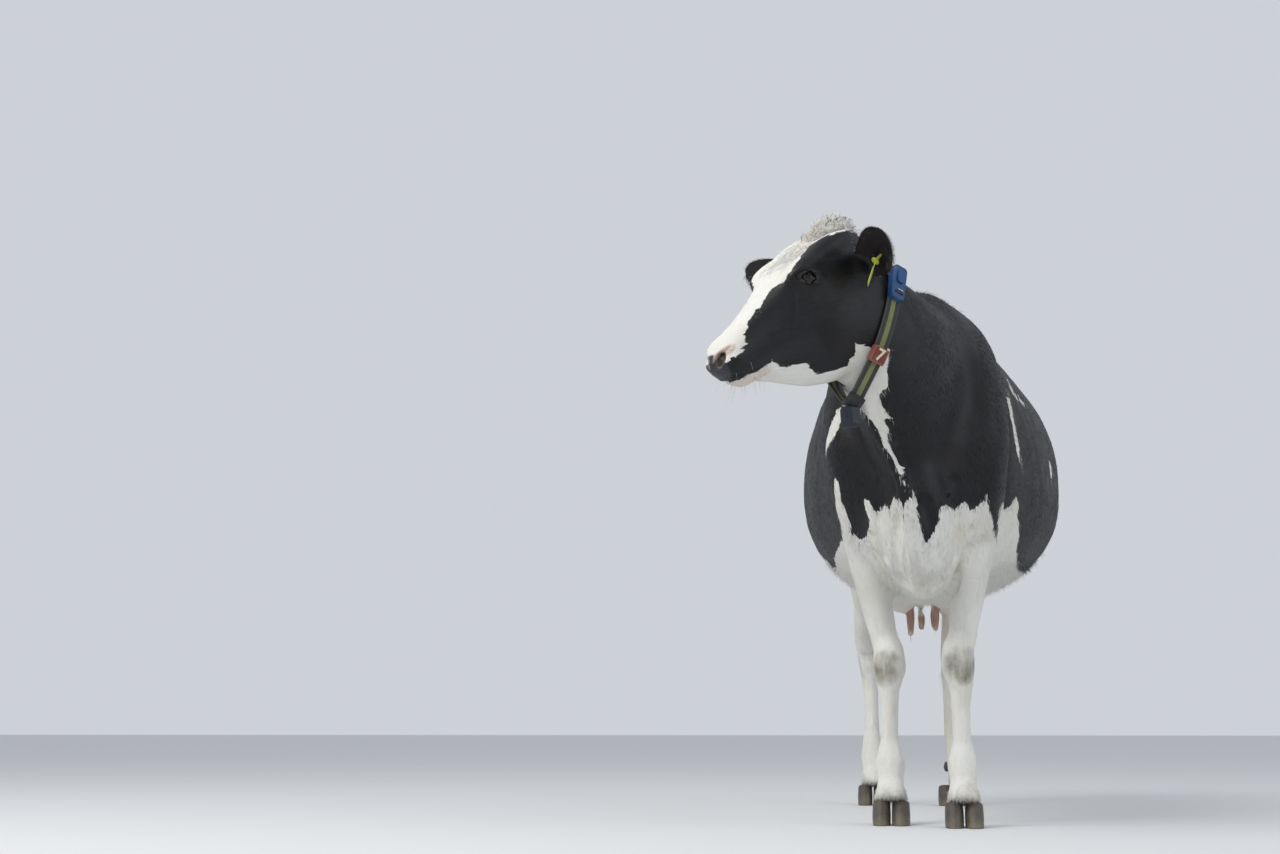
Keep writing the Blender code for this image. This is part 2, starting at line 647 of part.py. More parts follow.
def build_nodes(whole):
    remesh = whole.modifiers.new("whole", "REMESH")
    remesh.mode, remesh.voxel_size = "VOXEL", VOXEL
    smooth = whole.modifiers.new("blend", "SMOOTH")
    smooth.factor, smooth.iterations = 0.5, SMOOTHING
    bake(whole)
    place = head_matrix()
    thin_out(whole, FLESH_TRIANGLES * 2.8)
    thin_out(whole, FLESH_TRIANGLES, keep=place)
    turn_y = lambda degrees: Matrix.Rotation(math.radians(degrees), 4, "Y")
    turn_x = lambda degrees: Matrix.Rotation(math.radians(degrees), 4, "X")
    collar = Collar(whole)
    nodes = {}

    def part(name, middle, half, turn=None, where=None):
        nodes[name] = part_off(whole, *region_pair(middle, half, turn, where), name)

    part("tail", (0.05, 1.714, 0.94), (0.15, 0.215, 0.62), turn_x(-2))
    part("head", (0, -0.335, -0.10), (0.25, 0.375, 0.285), turn_x(7), place)
    part("neck", (-0.2, -0.67, 1.30), (0.6, 0.5, 0.62), turn_x(-16))  # all that is ahead of a sloping plane
    part("udder", (0, 1.14, 0.66), (0.115, 0.27, 0.14))
    for side, s in SIDES:
        part("foreleg_" + side, (s * 0.224, -0.01, 0.30), (0.20, 0.19, 0.47), turn_y(s * 9))
        middle, lean = (0.315, -4) if s > 0 else (-0.345, 6)
        part("hindleg_" + side, (middle, 1.39, 0.33), (0.26, 0.46, 0.62), turn_y(lean))
    nodes["trunk"] = whole
    whole.name = whole.data.name = "trunk"

    # the claws, trimmed and seated along each coronet
    for limb, feet, back in (("fore", FORE_FEET, 0.046), ("hind", HIND_FEET, 0.052)):
        for side, s in SIDES:
            leg = nodes[limb + "leg_" + side]
            fx, fy = feet[side]
            crown = Matrix.Translation((fx, fy - 0.03, CORONET - 0.008)) @ turn_x(-14)
            low = slab("low", (0, 0, -0.2), (0.3, 0.3, 0.2), place=crown)
            high = slab("high", (0, 0, 0.2 - CUT), (0.3, 0.3, 0.2), place=crown)
            boolean(leg, low, "DIFFERENCE")
            for half, t in (("outer", s), ("inner", -s)):
                name = "_".join(("claw", limb, side, half))
                nodes[name] = boolean(claw(name, fx + t * 0.0262, fy - back), high, "DIFFERENCE")
                dew = "_".join(("dewclaw", limb, side, half))
                bm = bmesh.new()
                spot = Matrix.Translation((fx + t * 0.019, fy + 0.027, 0.128))
                bmesh.ops.create_uvsphere(
                    bm,
                    u_segments=7,
                    v_segments=4,
                    radius=1,
                    matrix=spot @ turn_x(35) @ Matrix.Diagonal((0.012, 0.013, 0.022, 1)),
                )
                nodes[dew] = to_object(bm, dew)
                seat = inflated(nodes[dew])
                boolean(leg, seat, "DIFFERENCE")
                drop(seat)
            drop(low)
            drop(high)

    add_collar(nodes, collar)

    # eyes, ears, teats and tag, each in a seat of its own
    nodes["ear_tag"] = tag(place)
    for side, s in SIDES:
        eye = "eye_" + side
        bm = bmesh.new()
        spot = place @ Matrix.Translation((s * 0.0815, -0.228, -0.036)) @ Matrix.Rotation(math.pi / 2, 4, "Y")
        bmesh.ops.create_uvsphere(bm, u_segments=11, v_segments=7, radius=EYE, matrix=spot)
        nodes[eye] = to_object(bm, eye)
        nodes["ear_" + side] = leaf(place, s)
        if side == "left":
            seat = inflated(nodes["ear_tag"])
            boolean(nodes["ear_left"], seat, "DIFFERENCE")
            drop(seat)
        for name in (eye, "ear_" + side):
            seat = inflated(nodes[name])
            boolean(nodes["head"], seat, "DIFFERENCE")
            drop(seat)
        for end, x, y, tip in TEATS[side]:
            name = "teat_" + end + "_" + side
            nodes[name] = teat(name, x, y, tip)
            seat = inflated(nodes[name])
            boolean(nodes["udder"], seat, "DIFFERENCE")
            drop(seat)
        bm = bmesh.new()
        ball(bm, (s * 0.041, -0.538, -0.076), (0.014, 0.022, 0.015), place=place)
        pit = to_object(bm, "nostril")
        boolean(nodes["head"], pit, "DIFFERENCE")
        drop(pit)

    return nodes


COLOURS = {
    "claw": (0.10, 0.085, 0.07),
    "dewclaw": (0.10, 0.085, 0.07),
    "eye": (0.02, 0.015, 0.012),
    "teat": (0.42, 0.24, 0.19),
    "udder": (0.72, 0.60, 0.52),
    "collar_strap": (0.06, 0.06, 0.06),
    "collar_transponder": (0.02, 0.10, 0.35),
    "collar_number": (0.30, 0.05, 0.04),
    "collar_keeper": (0.03, 0.03, 0.035),
    "collar_weight": (0.02, 0.03, 0.05),
    "ear_tag": (0.55, 0.60, 0.10),
    "ear": (0.03, 0.03, 0.035),
    "head": (0.03, 0.03, 0.035),
    "neck": (0.03, 0.03, 0.035),
    "trunk": (0.05, 0.05, 0.055),
    "tail": (0.60, 0.58, 0.54),
    "foreleg": (0.70, 0.68, 0.63),
    "hindleg": (0.70, 0.68, 0.63),
}


def finish(nodes):
    """Colour the pieces and stand the cow over the origin."""
    low = [min(v.co[i] for n in nodes.values() for v in n.data.vertices) for i in range(3)]
    high = [max(v.co[i] for n in nodes.values() for v in n.data.vertices) for i in range(3)]
    shift = Matrix.Translation((-(low[0] + high[0]) / 2, -(low[1] + high[1]) / 2, -low[2]))
    for name, obj in nodes.items():
        obj.data.transform(shift)
        colour = next(c for key, c in COLOURS.items() if name.startswith(key))
        material = bpy.data.materials.new(name)
        material.use_nodes = True
        shader = material.node_tree.nodes["Principled BSDF"]
        shader.inputs["Base Color"].default_value = (*colour, 1)
        shader.inputs["Roughness"].default_value = 0.3 if name.startswith("eye") else 0.7
        obj.data.materials.clear()
        obj.data.materials.append(material)
        for face in obj.data.polygons:
            face.use_smooth = False


def main():
    for obj in list(bpy.data.objects):
        bpy.data.objects.remove(obj)
    bm = bmesh.new()
    add_trunk(bm)
    add_neck(bm)
    for name, s in SIDES:
        add_foreleg(bm, s, FORE_FEET[name])
        add_hindleg(bm, s, HIND_FEET[name])
    add_udder(bm)
    add_tail(bm)
    add_head(bm, head_matrix())
    whole = to_object(bm, "flesh")
    nodes = build_nodes(whole)
    finish(nodes)


main()
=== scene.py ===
import math

import bmesh
import bpy
import numpy as np
from mathutils import Matrix, Vector
from mathutils.bvhtree import BVHTree
from mathutils.kdtree import KDTree


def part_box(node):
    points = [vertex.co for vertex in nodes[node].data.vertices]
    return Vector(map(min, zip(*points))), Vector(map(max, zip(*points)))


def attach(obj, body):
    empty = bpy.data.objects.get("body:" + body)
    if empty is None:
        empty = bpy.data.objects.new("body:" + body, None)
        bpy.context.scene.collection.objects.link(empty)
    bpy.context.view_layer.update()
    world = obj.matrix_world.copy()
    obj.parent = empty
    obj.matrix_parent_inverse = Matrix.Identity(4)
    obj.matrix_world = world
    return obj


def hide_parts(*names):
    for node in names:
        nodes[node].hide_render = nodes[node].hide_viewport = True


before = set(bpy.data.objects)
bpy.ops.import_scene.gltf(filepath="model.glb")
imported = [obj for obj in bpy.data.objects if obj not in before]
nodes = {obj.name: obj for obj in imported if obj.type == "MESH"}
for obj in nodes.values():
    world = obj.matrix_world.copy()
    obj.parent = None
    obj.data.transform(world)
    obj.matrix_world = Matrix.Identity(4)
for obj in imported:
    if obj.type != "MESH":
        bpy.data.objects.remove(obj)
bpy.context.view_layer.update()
scene = bpy.context.scene
seeded = np.random.default_rng(7)


# places on the cow
headTurn = {
    "yaw": 47,
    "pitch": 37,
    "roll": 4,
    "eyeInHead": (0.0, -0.228, -0.036),
    "pollInBody": (-0.192, -0.510, 1.530),
}


def middleOf(node):
    low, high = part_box(node)
    return (low + high) / 2


def headMatrix():
    turn = Matrix.Rotation(math.radians(-headTurn["yaw"]), 4, "Z")
    turn = turn @ Matrix.Rotation(math.radians(headTurn["pitch"]), 4, "X")
    turn = turn @ Matrix.Rotation(math.radians(headTurn["roll"]), 4, "Y")
    eyes = (middleOf("eye_left") + middleOf("eye_right")) / 2
    return Matrix.Translation(eyes - turn @ Vector(headTurn["eyeInHead"])) @ turn


headAt = headMatrix()
bodyAt = headAt.translation - Vector(headTurn["pollInBody"])  # body coordinates count from the sternum's foot
bodyOrigin = np.array(bodyAt)
toHead = headAt.inverted()
headAxes = np.array(headAt.to_3x3())


def applied(points, matrix):
    m = np.array(matrix)
    return points @ m[:3, :3].T + m[:3, 3]


def smoothStep(low, high, value):
    t = np.clip((np.asarray(value, float) - low) / (high - low), 0, 1)
    return t * t * (3 - 2 * t)


def lengths(vectors):
    return np.linalg.norm(vectors, axis=1)


def unit(vectors):
    return vectors / np.maximum(lengths(vectors), 1e-6)[:, None]


def numbersOf(items, field, width, kind=float):
    out = np.empty(len(items) * width, kind)
    items.foreach_get(field, out)
    return out.reshape(-1, width)


def bell(off, width):
    return np.exp(-((off / width) ** 2))


def coordsOf(mesh):
    return numbersOf(mesh.vertices, "co", 3)


def setCoords(mesh, co):
    mesh.vertices.foreach_set("co", np.ascontiguousarray(co, dtype=np.float32).ravel())
    mesh.update()


def normalsOf(mesh):
    return numbersOf(mesh.vertices, "normal", 3)


def edgesOf(mesh):
    return numbersOf(mesh.edges, "vertices", 2, np.int64)


def addObject(name, mesh):
    obj = bpy.data.objects.new(name, mesh)
    scene.collection.objects.link(obj)
    return obj


def meshFrom(bm, name):
    mesh = bpy.data.meshes.new(name)
    bm.to_mesh(mesh)
    bm.free()
    return addObject(name, mesh)


def opened(mesh):
    bm = bmesh.new()
    bm.from_mesh(mesh)
    bm.verts.ensure_lookup_table()
    return bm


def closed(bm, mesh):
    bm.to_mesh(mesh)
    bm.free()


def bakeModifiers(obj):
    mesh = bpy.data.meshes.new_from_object(obj.evaluated_get(bpy.context.evaluated_depsgraph_get()))
    obj.modifiers.clear()
    obj.data = mesh


def shadeSmooth(obj):
    obj.data.polygons.foreach_set("use_smooth", [True] * len(obj.data.polygons))
    obj.data.update()


def settle(piece, slot, *cadNames):
    # the piece rides on the cow's one body, in the place of its CAD pieces
    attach(piece, "root")
    if cadNames:
        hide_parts(*cadNames)


# the skin: every piece of flesh as one closed form
skinSizes = {
    "fleshNodes": ["trunk", "head", "neck", "tail", "udder", "foreleg_left", "foreleg_right", "hindleg_left",
                   "hindleg_right", "ear_left", "ear_right", "teat_front_left", "teat_front_right",
                   "teat_rear_left", "teat_rear_right"],
    "voxel": 0.0048,
    "swell": 0.0007,  # closes the thin cuts between the pieces
    "earSwell": 0.0024,
    "rounds": 64,  # of smoothing
    "bodySmooth": 0.62,
    "legSmooth": 0.12,
    "headSmooth": 0.13,
    "earSmooth": 0.04,
    "coatDepth": 0.004,
    "weld": 0.00002,
    "triangles": 150000,  # before the face is refined
}

# the ears in the head's coordinates: where they start, which way each points, and their outline along that way
ears = {
    "root": (0.088, -0.055, -0.098),
    "left": (0.88, -0.25, 0.47),
    "right": (-0.84, -0.26, 0.32),
    "rightOpen": 20.0,  # degrees by which the right one is turned open
    "along": (-0.012, 0.020, 0.065, 0.115, 0.158, 0.189, 0.205),
    "half": (0.029, 0.042, 0.054, 0.054, 0.046, 0.030, 0.011),
    "lean": (0.0, -0.010, -0.013, -0.008, -0.002, 0.002, 0.003),
}


def earAxes(side):
    # along the ear, its rise and the way it opens, in the head's coordinates
    ear = Vector(ears["left"] if side > 0 else ears["right"]).normalized()
    ahead = Vector((0, -1, -0.12))
    ahead = (ahead - ahead.dot(ear) * ear).normalized()
    rise = ear.cross(ahead) * side
    rise = rise if rise.z > 0 else -rise
    if side < 0:
        turn = math.radians(ears["rightOpen"])
        ahead, rise = ahead * math.cos(turn) + rise * math.sin(turn), rise * math.cos(turn) - ahead * math.sin(turn)
    return ear, rise, ahead


def mergedFlesh():
    bm = bmesh.new()
    for name in skinSizes["fleshNodes"]:
        part = bmesh.new()
        part.from_mesh(nodes[name].data)
        bmesh.ops.remove_doubles(part, verts=part.verts, dist=skinSizes["weld"])
        part.normal_update()
        swell = skinSizes["earSwell" if name.startswith("ear") else "swell"]
        for vert, normal in [(v, v.normal.copy()) for v in part.verts]:
            vert.co += normal * swell
        keep = bpy.data.meshes.new("part")
        part.to_mesh(keep)
        part.free()
        bm.from_mesh(keep)
        bpy.data.meshes.remove(keep)
    obj = meshFrom(bm, "skin")
    remesh = obj.modifiers.new("whole", "REMESH")
    remesh.mode, remesh.voxel_size = "VOXEL", skinSizes["voxel"]
    bakeModifiers(obj)
    return obj


def surfaceOf(name, points, margin):
    # a CAD piece's surface to measure from, and which points lie within the margin of its box
    mesh = nodes[name].data
    low, high = (np.array(v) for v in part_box(name))
    tree = BVHTree.FromPolygons([v.co for v in mesh.vertices], [p.vertices[:] for p in mesh.polygons])
    return tree, np.all((points > low - margin) & (points < high + margin), axis=1)


def nearness(points, names, reach):
    # 1 on the named CAD pieces, falling to 0 at that distance
    out = np.zeros(len(points))
    for name in names:
        tree, near = surfaceOf(name, points, reach)
        for i in np.nonzero(near)[0]:
            hit = tree.find_nearest(Vector(points[i]), reach)
            if hit[0] is not None:
                out[i] = max(out[i], 1 - hit[3] / reach)
    return out


def smoothed(co, edges, weight, rounds):
    a, b = edges[:, 0], edges[:, 1]
    count = np.bincount(a, minlength=len(co)) + np.bincount(b, minlength=len(co))
    for _ in range(rounds):
        total = np.stack([np.bincount(a, co[b, k], len(co)) + np.bincount(b, co[a, k], len(co)) for k in range(3)], 1)
        co = co + (total / count[:, None] - co) * weight[:, None]
    return co


def largestOnly(obj):
    mesh = obj.data
    edges, count = edgesOf(mesh), len(mesh.vertices)
    label = np.arange(count)
    while True:
        low = np.minimum(label[edges[:, 0]], label[edges[:, 1]])
        fresh = label.copy()
        np.minimum.at(fresh, edges[:, 0], low)
        np.minimum.at(fresh, edges[:, 1], low)
        fresh = fresh[fresh]
        if np.array_equal(fresh, label):
            break
        label = fresh
    main = np.bincount(label, minlength=count).argmax()
    stray = np.nonzero(label != main)[0]
    if len(stray):
        bm = opened(mesh)
        bmesh.ops.delete(bm, geom=[bm.verts[i] for i in stray], context="VERTS")
        closed(bm, mesh)


def snapTo(co, names, weight, inset):
    # lays the points of thin forms back on their CAD surface
    for name in names:
        tree, near = surfaceOf(name, co, 0.01)
        for i in np.nonzero((weight > 0) & near)[0]:
            spot, normal, _, _ = tree.find_nearest(Vector(co[i]), 0.012)
            if spot is not None:
                co[i] += (np.array(spot - normal * inset) - co[i]) * weight[i]
    return co


def inFrame(points, origin, axes):
    return (points - np.array(origin)) @ np.array(axes).T


def capsules(points, spine):
    # signed distance to a chain of tapering capsules, each spine row a place and its radius
    best = np.full(len(points), 9.0)
    for a, b in zip(spine[:-1], spine[1:]):
        start, end = np.array(a[:-1]), np.array(b[:-1])
        run = end - start
        t = np.clip((points - start) @ run / (run @ run), 0, 1)
        gap = lengths(points - start - t[:, None] * run) - (a[-1] + (b[-1] - a[-1]) * t)
        best = np.minimum(best, gap)
    return best


def headZone(local):
    # 1 in the head, falling to 0 over the throat, the neck and the shoulder
    return smoothStep(0.250, 0.215, capsules(local, [(0, -0.03, -0.125, 0.0), (0, -0.52, -0.125, 0.0)]))


def polygonDistance(points, corners):
    # signed distance in a plane to a closed outline, positive inside
    corners = np.array(corners, float)
    inside = np.zeros(len(points), bool)
    best = np.full(len(points), 9.0)
    for a, b in zip(corners, np.roll(corners, -1, axis=0)):
        run = b - a
        t = np.clip((points - a) @ run / (run @ run), 0, 1)
        best = np.minimum(best, lengths(points - a - t[:, None] * run))
        if a[1] != b[1]:
            crosses = (a[1] > points[:, 1]) != (b[1] > points[:, 1])
            inside ^= crosses & (points[:, 0] < (b[0] - a[0]) * (points[:, 1] - a[1]) / (b[1] - a[1]) + a[0])
    return np.where(inside, best, -best)


# the forms under the hide: folds, hollows, veins and sinews
reliefs = {  # places in body coordinates, each with its radius; width and height of the form; both sides or one
    "shoulderBlade": ([(0.17, 0.05, 1.38, 0.02), (0.21, -0.05, 1.18, 0.02),
        (0.215, -0.12, 1.02, 0.02)], 0.05, 0.006, True),
    "armFold": ([(0.235, 0.13, 1.18, 0.01), (0.25, 0.10, 1.00, 0.01),
        (0.22, 0.10, 0.84, 0.01)], 0.045, -0.010, True),
    "flankFold": ([(0.30, 0.92, 0.98, 0.01), (0.26, 0.98, 0.86, 0.01),
        (0.22, 1.02, 0.76, 0.01)], 0.035, 0.010, True),
    "flankHollow": ([(0.30, 0.92, 1.32, 0.02), (0.34, 0.84, 1.24, 0.02)], 0.075, -0.016, True),
    "milkVein": ([(0.17, 0.30, 0.645, 0.003), (0.20, 0.50, 0.66, 0.004), (0.185, 0.70, 0.66, 0.004),
        (0.15, 0.88, 0.67, 0.005)], 0.011, 0.008, True),
    "chestFold": ([(0.095, -0.245, 0.90, 0.004), (0.105, -0.225, 0.80, 0.004),
        (0.10, -0.17, 0.71, 0.004)], 0.020, -0.010, True),
    "thighGroove": ([(0.245, 1.30, 1.12, 0.01), (0.235, 1.33, 0.94, 0.01),
        (0.19, 1.32, 0.78, 0.01)], 0.030, -0.008, True),
    "udderCleft": ([(0.0, 1.36, 0.98, 0.004), (0.0, 1.32, 0.84, 0.004), (0.0, 1.20, 0.665, 0.004),
        (0.0, 0.98, 0.66, 0.004)], 0.020, -0.014, False),
    "keel": ([(-0.040, -0.385, 0.91, 0.003), (-0.024, -0.372, 0.81, 0.005), (-0.012, -0.325, 0.72, 0.006),
        (-0.003, -0.205, 0.63, 0.008)], 0.014, 0.023, False),
    "keelLeft": ([(0.022, -0.35, 0.83, 0.004), (0.036, -0.29, 0.73, 0.006),
        (0.045, -0.18, 0.64, 0.006)], 0.022, -0.014, False),
    "keelRight": ([(-0.074, -0.36, 0.83, 0.004), (-0.060, -0.28, 0.73, 0.006),
        (-0.050, -0.18, 0.64, 0.006)], 0.022, -0.014, False),
    "armCreaseA": ([(0.130, -0.125, 0.745, 0.001), (0.088, -0.060, 0.630, 0.001)], 0.0095, -0.012, False),
    "armCreaseB": ([(0.141, -0.160, 0.785, 0.001), (0.099, -0.085, 0.668, 0.001)], 0.0095, -0.012, False),
    "armCreaseC": ([(-0.117, -0.140, 0.730, 0.001), (-0.070, -0.100, 0.655, 0.001)], 0.0095, -0.012, False),
    "armCreaseD": ([(-0.128, -0.175, 0.770, 0.001), (-0.082, -0.125, 0.680, 0.001)], 0.0095, -0.012, False),
    "neckFoldLow": ([(-0.045, -0.385, 1.00, 0.003), (0.05, -0.285, 1.05, 0.003),
        (0.12, -0.19, 1.13, 0.003)], 0.014, -0.006, False),
    "neckFoldMid": ([(-0.075, -0.42, 1.08, 0.003), (0.01, -0.37, 1.13, 0.003),
        (0.07, -0.29, 1.21, 0.003)], 0.013, -0.005, False),
}
ribs = {"count": 8, "first": 0.30, "step": 0.068, "slope": 0.30, "depth": 0.0022, "half": 0.017}
uneven = {"depth": 0.0005, "over": 2.2}  # the hide's living unevenness


def sculpted(co, normals):
    body = co - bodyOrigin
    bodyX, bodyY, bodyZ = body.T
    lift = np.zeros(len(co))
    for rows, width, height, paired in reliefs.values():
        for side in ((1, -1) if paired else (1,)):
            placedRows = [(side * x, y, z, r) for x, y, z, r in rows]
            gap = np.maximum(capsules(body, placedRows), 0)
            lift += height * np.exp(-((gap / width) ** 2) * 1.6)
    onBarrel = smoothStep(0.80, 0.98, bodyZ) * smoothStep(1.36, 1.24, bodyZ) * smoothStep(0.18, 0.26, np.abs(bodyX))
    for k in range(ribs["count"]):
        at = ribs["first"] + ribs["step"] * k + ribs["slope"] * (1.2 - bodyZ)
        lift += ribs["depth"] * bell(bodyY - at, ribs["half"]) * onBarrel
    waves = np.sin(body @ np.array([61, 23, 37])) + np.sin(body @ np.array([-29, 47, 53]) + 1.7)
    waves += np.sin(body @ np.array([17, -59, 71]) + 0.6)
    keepFace = 1 - 0.8 * headness
    lift = (lift + uneven["depth"] * waves / uneven["over"]) * keepFace
    return co + normals * (lift * (1 - smoothStep(0, 0.3, earness)))[:, None]


skin = mergedFlesh()
largestOnly(skin)
print("skin merged", len(skin.data.vertices))
co = coordsOf(skin.data)
body = co - bodyOrigin
inHead = applied(co, toHead)
earness = nearness(co, ["ear_left", "ear_right"], 0.014)
teatNodes = [name for name in skinSizes["fleshNodes"] if name.startswith("teat")]
teatness = nearness(co, teatNodes, 0.010)
headness = smoothStep(0.06, -0.02, inHead[:, 1]) * smoothStep(0.9, 1.0, body[:, 2]) * headZone(inHead)
legness = smoothStep(0.66, 0.52, body[:, 2])
tailness = smoothStep(1.49, 1.51, body[:, 1])
weight = skinSizes["bodySmooth"] * np.ones(len(co))
for mask, value in ((legness, "legSmooth"), (tailness, "legSmooth"), (headness, "headSmooth")):
    weight = weight * (1 - mask) + skinSizes[value] * mask
onEar = smoothStep(0, 0.5, np.maximum(earness, teatness))
weight = weight * (1 - onEar) + skinSizes["earSmooth"] * onEar
co = smoothed(co, edgesOf(skin.data), weight, skinSizes["rounds"])
co = snapTo(co, ["ear_left", "ear_right"], smoothStep(0.45, 0.75, earness), 0.0008)
co = snapTo(co, teatNodes, smoothStep(0.5, 0.8, teatness), 0.0004)
co = smoothed(co, edgesOf(skin.data), onEar * 0.5, 4)
setCoords(skin.data, co)
setCoords(skin.data, sculpted(co, normalsOf(skin.data)))
print("skin smoothed and sculpted")


def thinned(obj, keep, triangles):
    # fewer triangles, none of them taken where keep is set
    group = obj.vertex_groups.new(name="thinned")
    group.add([int(i) for i in np.nonzero(~keep)[0]], 1.0, "REPLACE")
    mod = obj.modifiers.new("thinned", "DECIMATE")
    mod.ratio = triangles / (2 * len(obj.data.polygons))
    mod.vertex_group = "thinned"
    bakeModifiers(obj)
    obj.vertex_groups.clear()


thinned(skin, (inHead[:, 1] < 0.03) & (body[:, 2] > 0.95), skinSizes["triangles"])
print("skin thinned", len(skin.data.polygons))

# the face's lids, nostrils and lips, in the head's own coordinates
face = {
    "eye": (0.0815, -0.228, -0.036),
    "eyeOut": (0.93, -0.33, 0.15),
    "eyeAlong": (0.0, 0.84, -0.54),
    "eyeball": 0.0213,
    "opening": (0.0198, 0.0112, 0.0092),  # half-width, reach up, reach down
    "lidThick": 0.0028,
    "rimBand": 0.0034,  # points this far inside the lids' edge are drawn out to it
    "nostril": [(0.020, -0.551, -0.090, 0.0105), (0.031, -0.546, -0.075, 0.0155), (0.044, -0.531, -0.064, 0.0120),
        (0.055, -0.505, -0.060, 0.0040)],
    "nostrilOut": (0.50, -0.84, 0.16),
    "nostrilDepth": 0.024,
    "mouth": [(-0.575, -0.139, 0.0), (-0.539, -0.144, 0.0), (-0.528, -0.149, 0.0), (-0.506, -0.152, 0.0),
        (-0.459, -0.160, 0.0), (-0.432, -0.163, 0.0)],
    "mouthDepth": 0.0042,
    "forms": {  # from one place to another, with the width and the height of the form
        "crest": ((0.088, -0.250, -0.088), (0.066, -0.380, -0.105), 0.011, 0.0035),
        "vein": ((0.080, -0.285, -0.050), (0.064, -0.335, -0.130), 0.006, 0.0018),
        "jawHollow": ((0.060, -0.170, -0.285), (0.050, -0.330, -0.235), 0.012, -0.0025),
        "noseHollow": ((0.030, -0.300, -0.002), (0.022, -0.430, -0.030), 0.010, -0.0015),
    },
    # where the mesh is made finer: a reach about each eye, and a place with its reach
    "eyeReach": (0.050, 0.033),
    "muzzleFine": ((0, -0.540, -0.105), 0.078),
    "nostrilFine": ((0.038, -0.535, -0.076), 0.028),
}


def refine(obj, regions):
    # halves the edges inside each region, given as a middle and a reach in the head's coordinates
    for middle, reach in regions:
        bm = opened(obj.data)
        spot = headAt @ Vector(middle)
        near = {v for v in bm.verts if (v.co - spot).length < reach}
        edges = [e for e in bm.edges if e.verts[0] in near and e.verts[1] in near]
        bmesh.ops.subdivide_edges(bm, edges=edges, cuts=1, use_grid_fill=True)
        bmesh.ops.triangulate(bm, faces=[f for f in bm.faces if len(f.verts) > 3])
        closed(bm, obj.data)


def eyeFrame(side):
    out = Vector(face["eyeOut"]).normalized()
    along = Vector(face["eyeAlong"])
    along = (along - along.dot(out) * out).normalized()
    up = out.cross(along)
    if up.z < 0:
        up.negate()
    flip = Vector((side, 1, 1))
    return Vector(face["eye"]) * flip, [v * flip for v in (along, up, out)]


def lidsAround(local, side):
    middle, axes = eyeFrame(side)
    p = inFrame(local, middle, axes)
    wide, high, low = face["opening"]
    reachUp = np.where(p[:, 1] > 0, high, low)
    rho = np.sqrt((p[:, 0] / wide) ** 2 + (p[:, 1] / reachUp) ** 2)
    reach = np.hypot(p[:, 0], p[:, 1]) / np.maximum(rho, 0.01)
    onRim = (rho > 1 - face["rimBand"] / np.maximum(reach, 0.004)) & (rho < 1.0) & (p[:, 2] > -0.004)
    out = np.where(onRim, 1 / np.maximum(rho, 0.1), 1.0)
    aside = p[:, :2] * (out - 1)[:, None]
    p[:, :2] += aside
    rho = np.where(onRim, 1.0, rho)
    near = (rho < 3.2) & (p[:, 2] > -0.004)
    rim = np.maximum(rho, 1.0)
    ball = face["eyeball"]
    rimDepth = np.sqrt(np.maximum(ball**2 - (p[:, 0] ** 2 + p[:, 1] ** 2) / rim**2, 1e-6))
    lid = rimDepth + face["lidThick"] - 0.0016 * (rim - 1)
    upper = smoothStep(-0.002, 0.004, p[:, 1])
    lid += upper * (0.0016 * bell(rho - 1.28, 0.16) - 0.0026 * bell(rho - 1.62, 0.11))
    lid -= (1 - upper) * (0.0012 * bell(rho - 1.5, 0.10) + 0.0009 * bell(rho - 1.95, 0.12))
    blend = smoothStep(1.35, 2.3, rho)
    outside = lid * (1 - blend) + p[:, 2] * blend
    inner = np.sqrt(np.maximum(ball**2 - p[:, 0] ** 2 - p[:, 1] ** 2, 0)) - 0.0045
    sharp = (rho > 0.999) * 1.0
    depth = outside * sharp + inner * (1 - sharp)
    move = np.where(near, depth - p[:, 2], 0)
    moved = local + move[:, None] * np.array(axes[2]) + aside @ np.array(axes[:2])
    return moved, np.where(near, rho, 9.0)


refine(skin, [(eyeFrame(side)[0], reach) for side in (1, -1) for reach in face["eyeReach"]])
refine(skin, [face["muzzleFine"]] + [(Vector(face["nostrilFine"][0]) * Vector((side, 1, 1)), face["nostrilFine"][1])
                                     for side in (1, -1)])
print("face refined", len(skin.data.polygons))

local = applied(coordsOf(skin.data), toHead)
fine = np.maximum(smoothStep(0.11, 0.09, lengths(local - (0, -0.530, -0.105))),
                  smoothStep(0.060, 0.045, lengths(np.abs(local) - np.abs(face["eye"]))))
local = smoothed(local, edgesOf(skin.data), fine * 0.4, 4)
setCoords(skin.data, applied(local, headAt))
normals = normalsOf(skin.data) @ headAxes
for start, end, width, height in face["forms"].values():
    for side in (1, -1):
        flip = np.array((side, 1, 1))
        gap = np.maximum(capsules(local, [(*(flip * start), 0.002), (*(flip * end), 0.002)]), 0)
        local = local + normals * (height * np.exp(-((gap / width) ** 2) * 1.5))[:, None]


def lipLine(local):
    # the height of the line between the lips
    return np.interp(local[:, 1], [spot[0] for spot in face["mouth"]], [spot[1] for spot in face["mouth"]])


# lips: a groove, the upper lip over it and the lower one a little behind
fade = smoothStep(-0.428, -0.440, local[:, 1])
gap = capsules(local[:, 1:], face["mouth"])
lineAt = lipLine(local)
below = smoothStep(0.001, -0.004, local[:, 2] - lineAt) * smoothStep(-0.045, -0.02, local[:, 2] - lineAt)
groove = -face["mouthDepth"] * bell(gap, 0.0024) + 0.0016 * bell(gap - 0.0065, 0.004)
local = local + normals * ((groove - 0.0015 * below) * fade)[:, None]

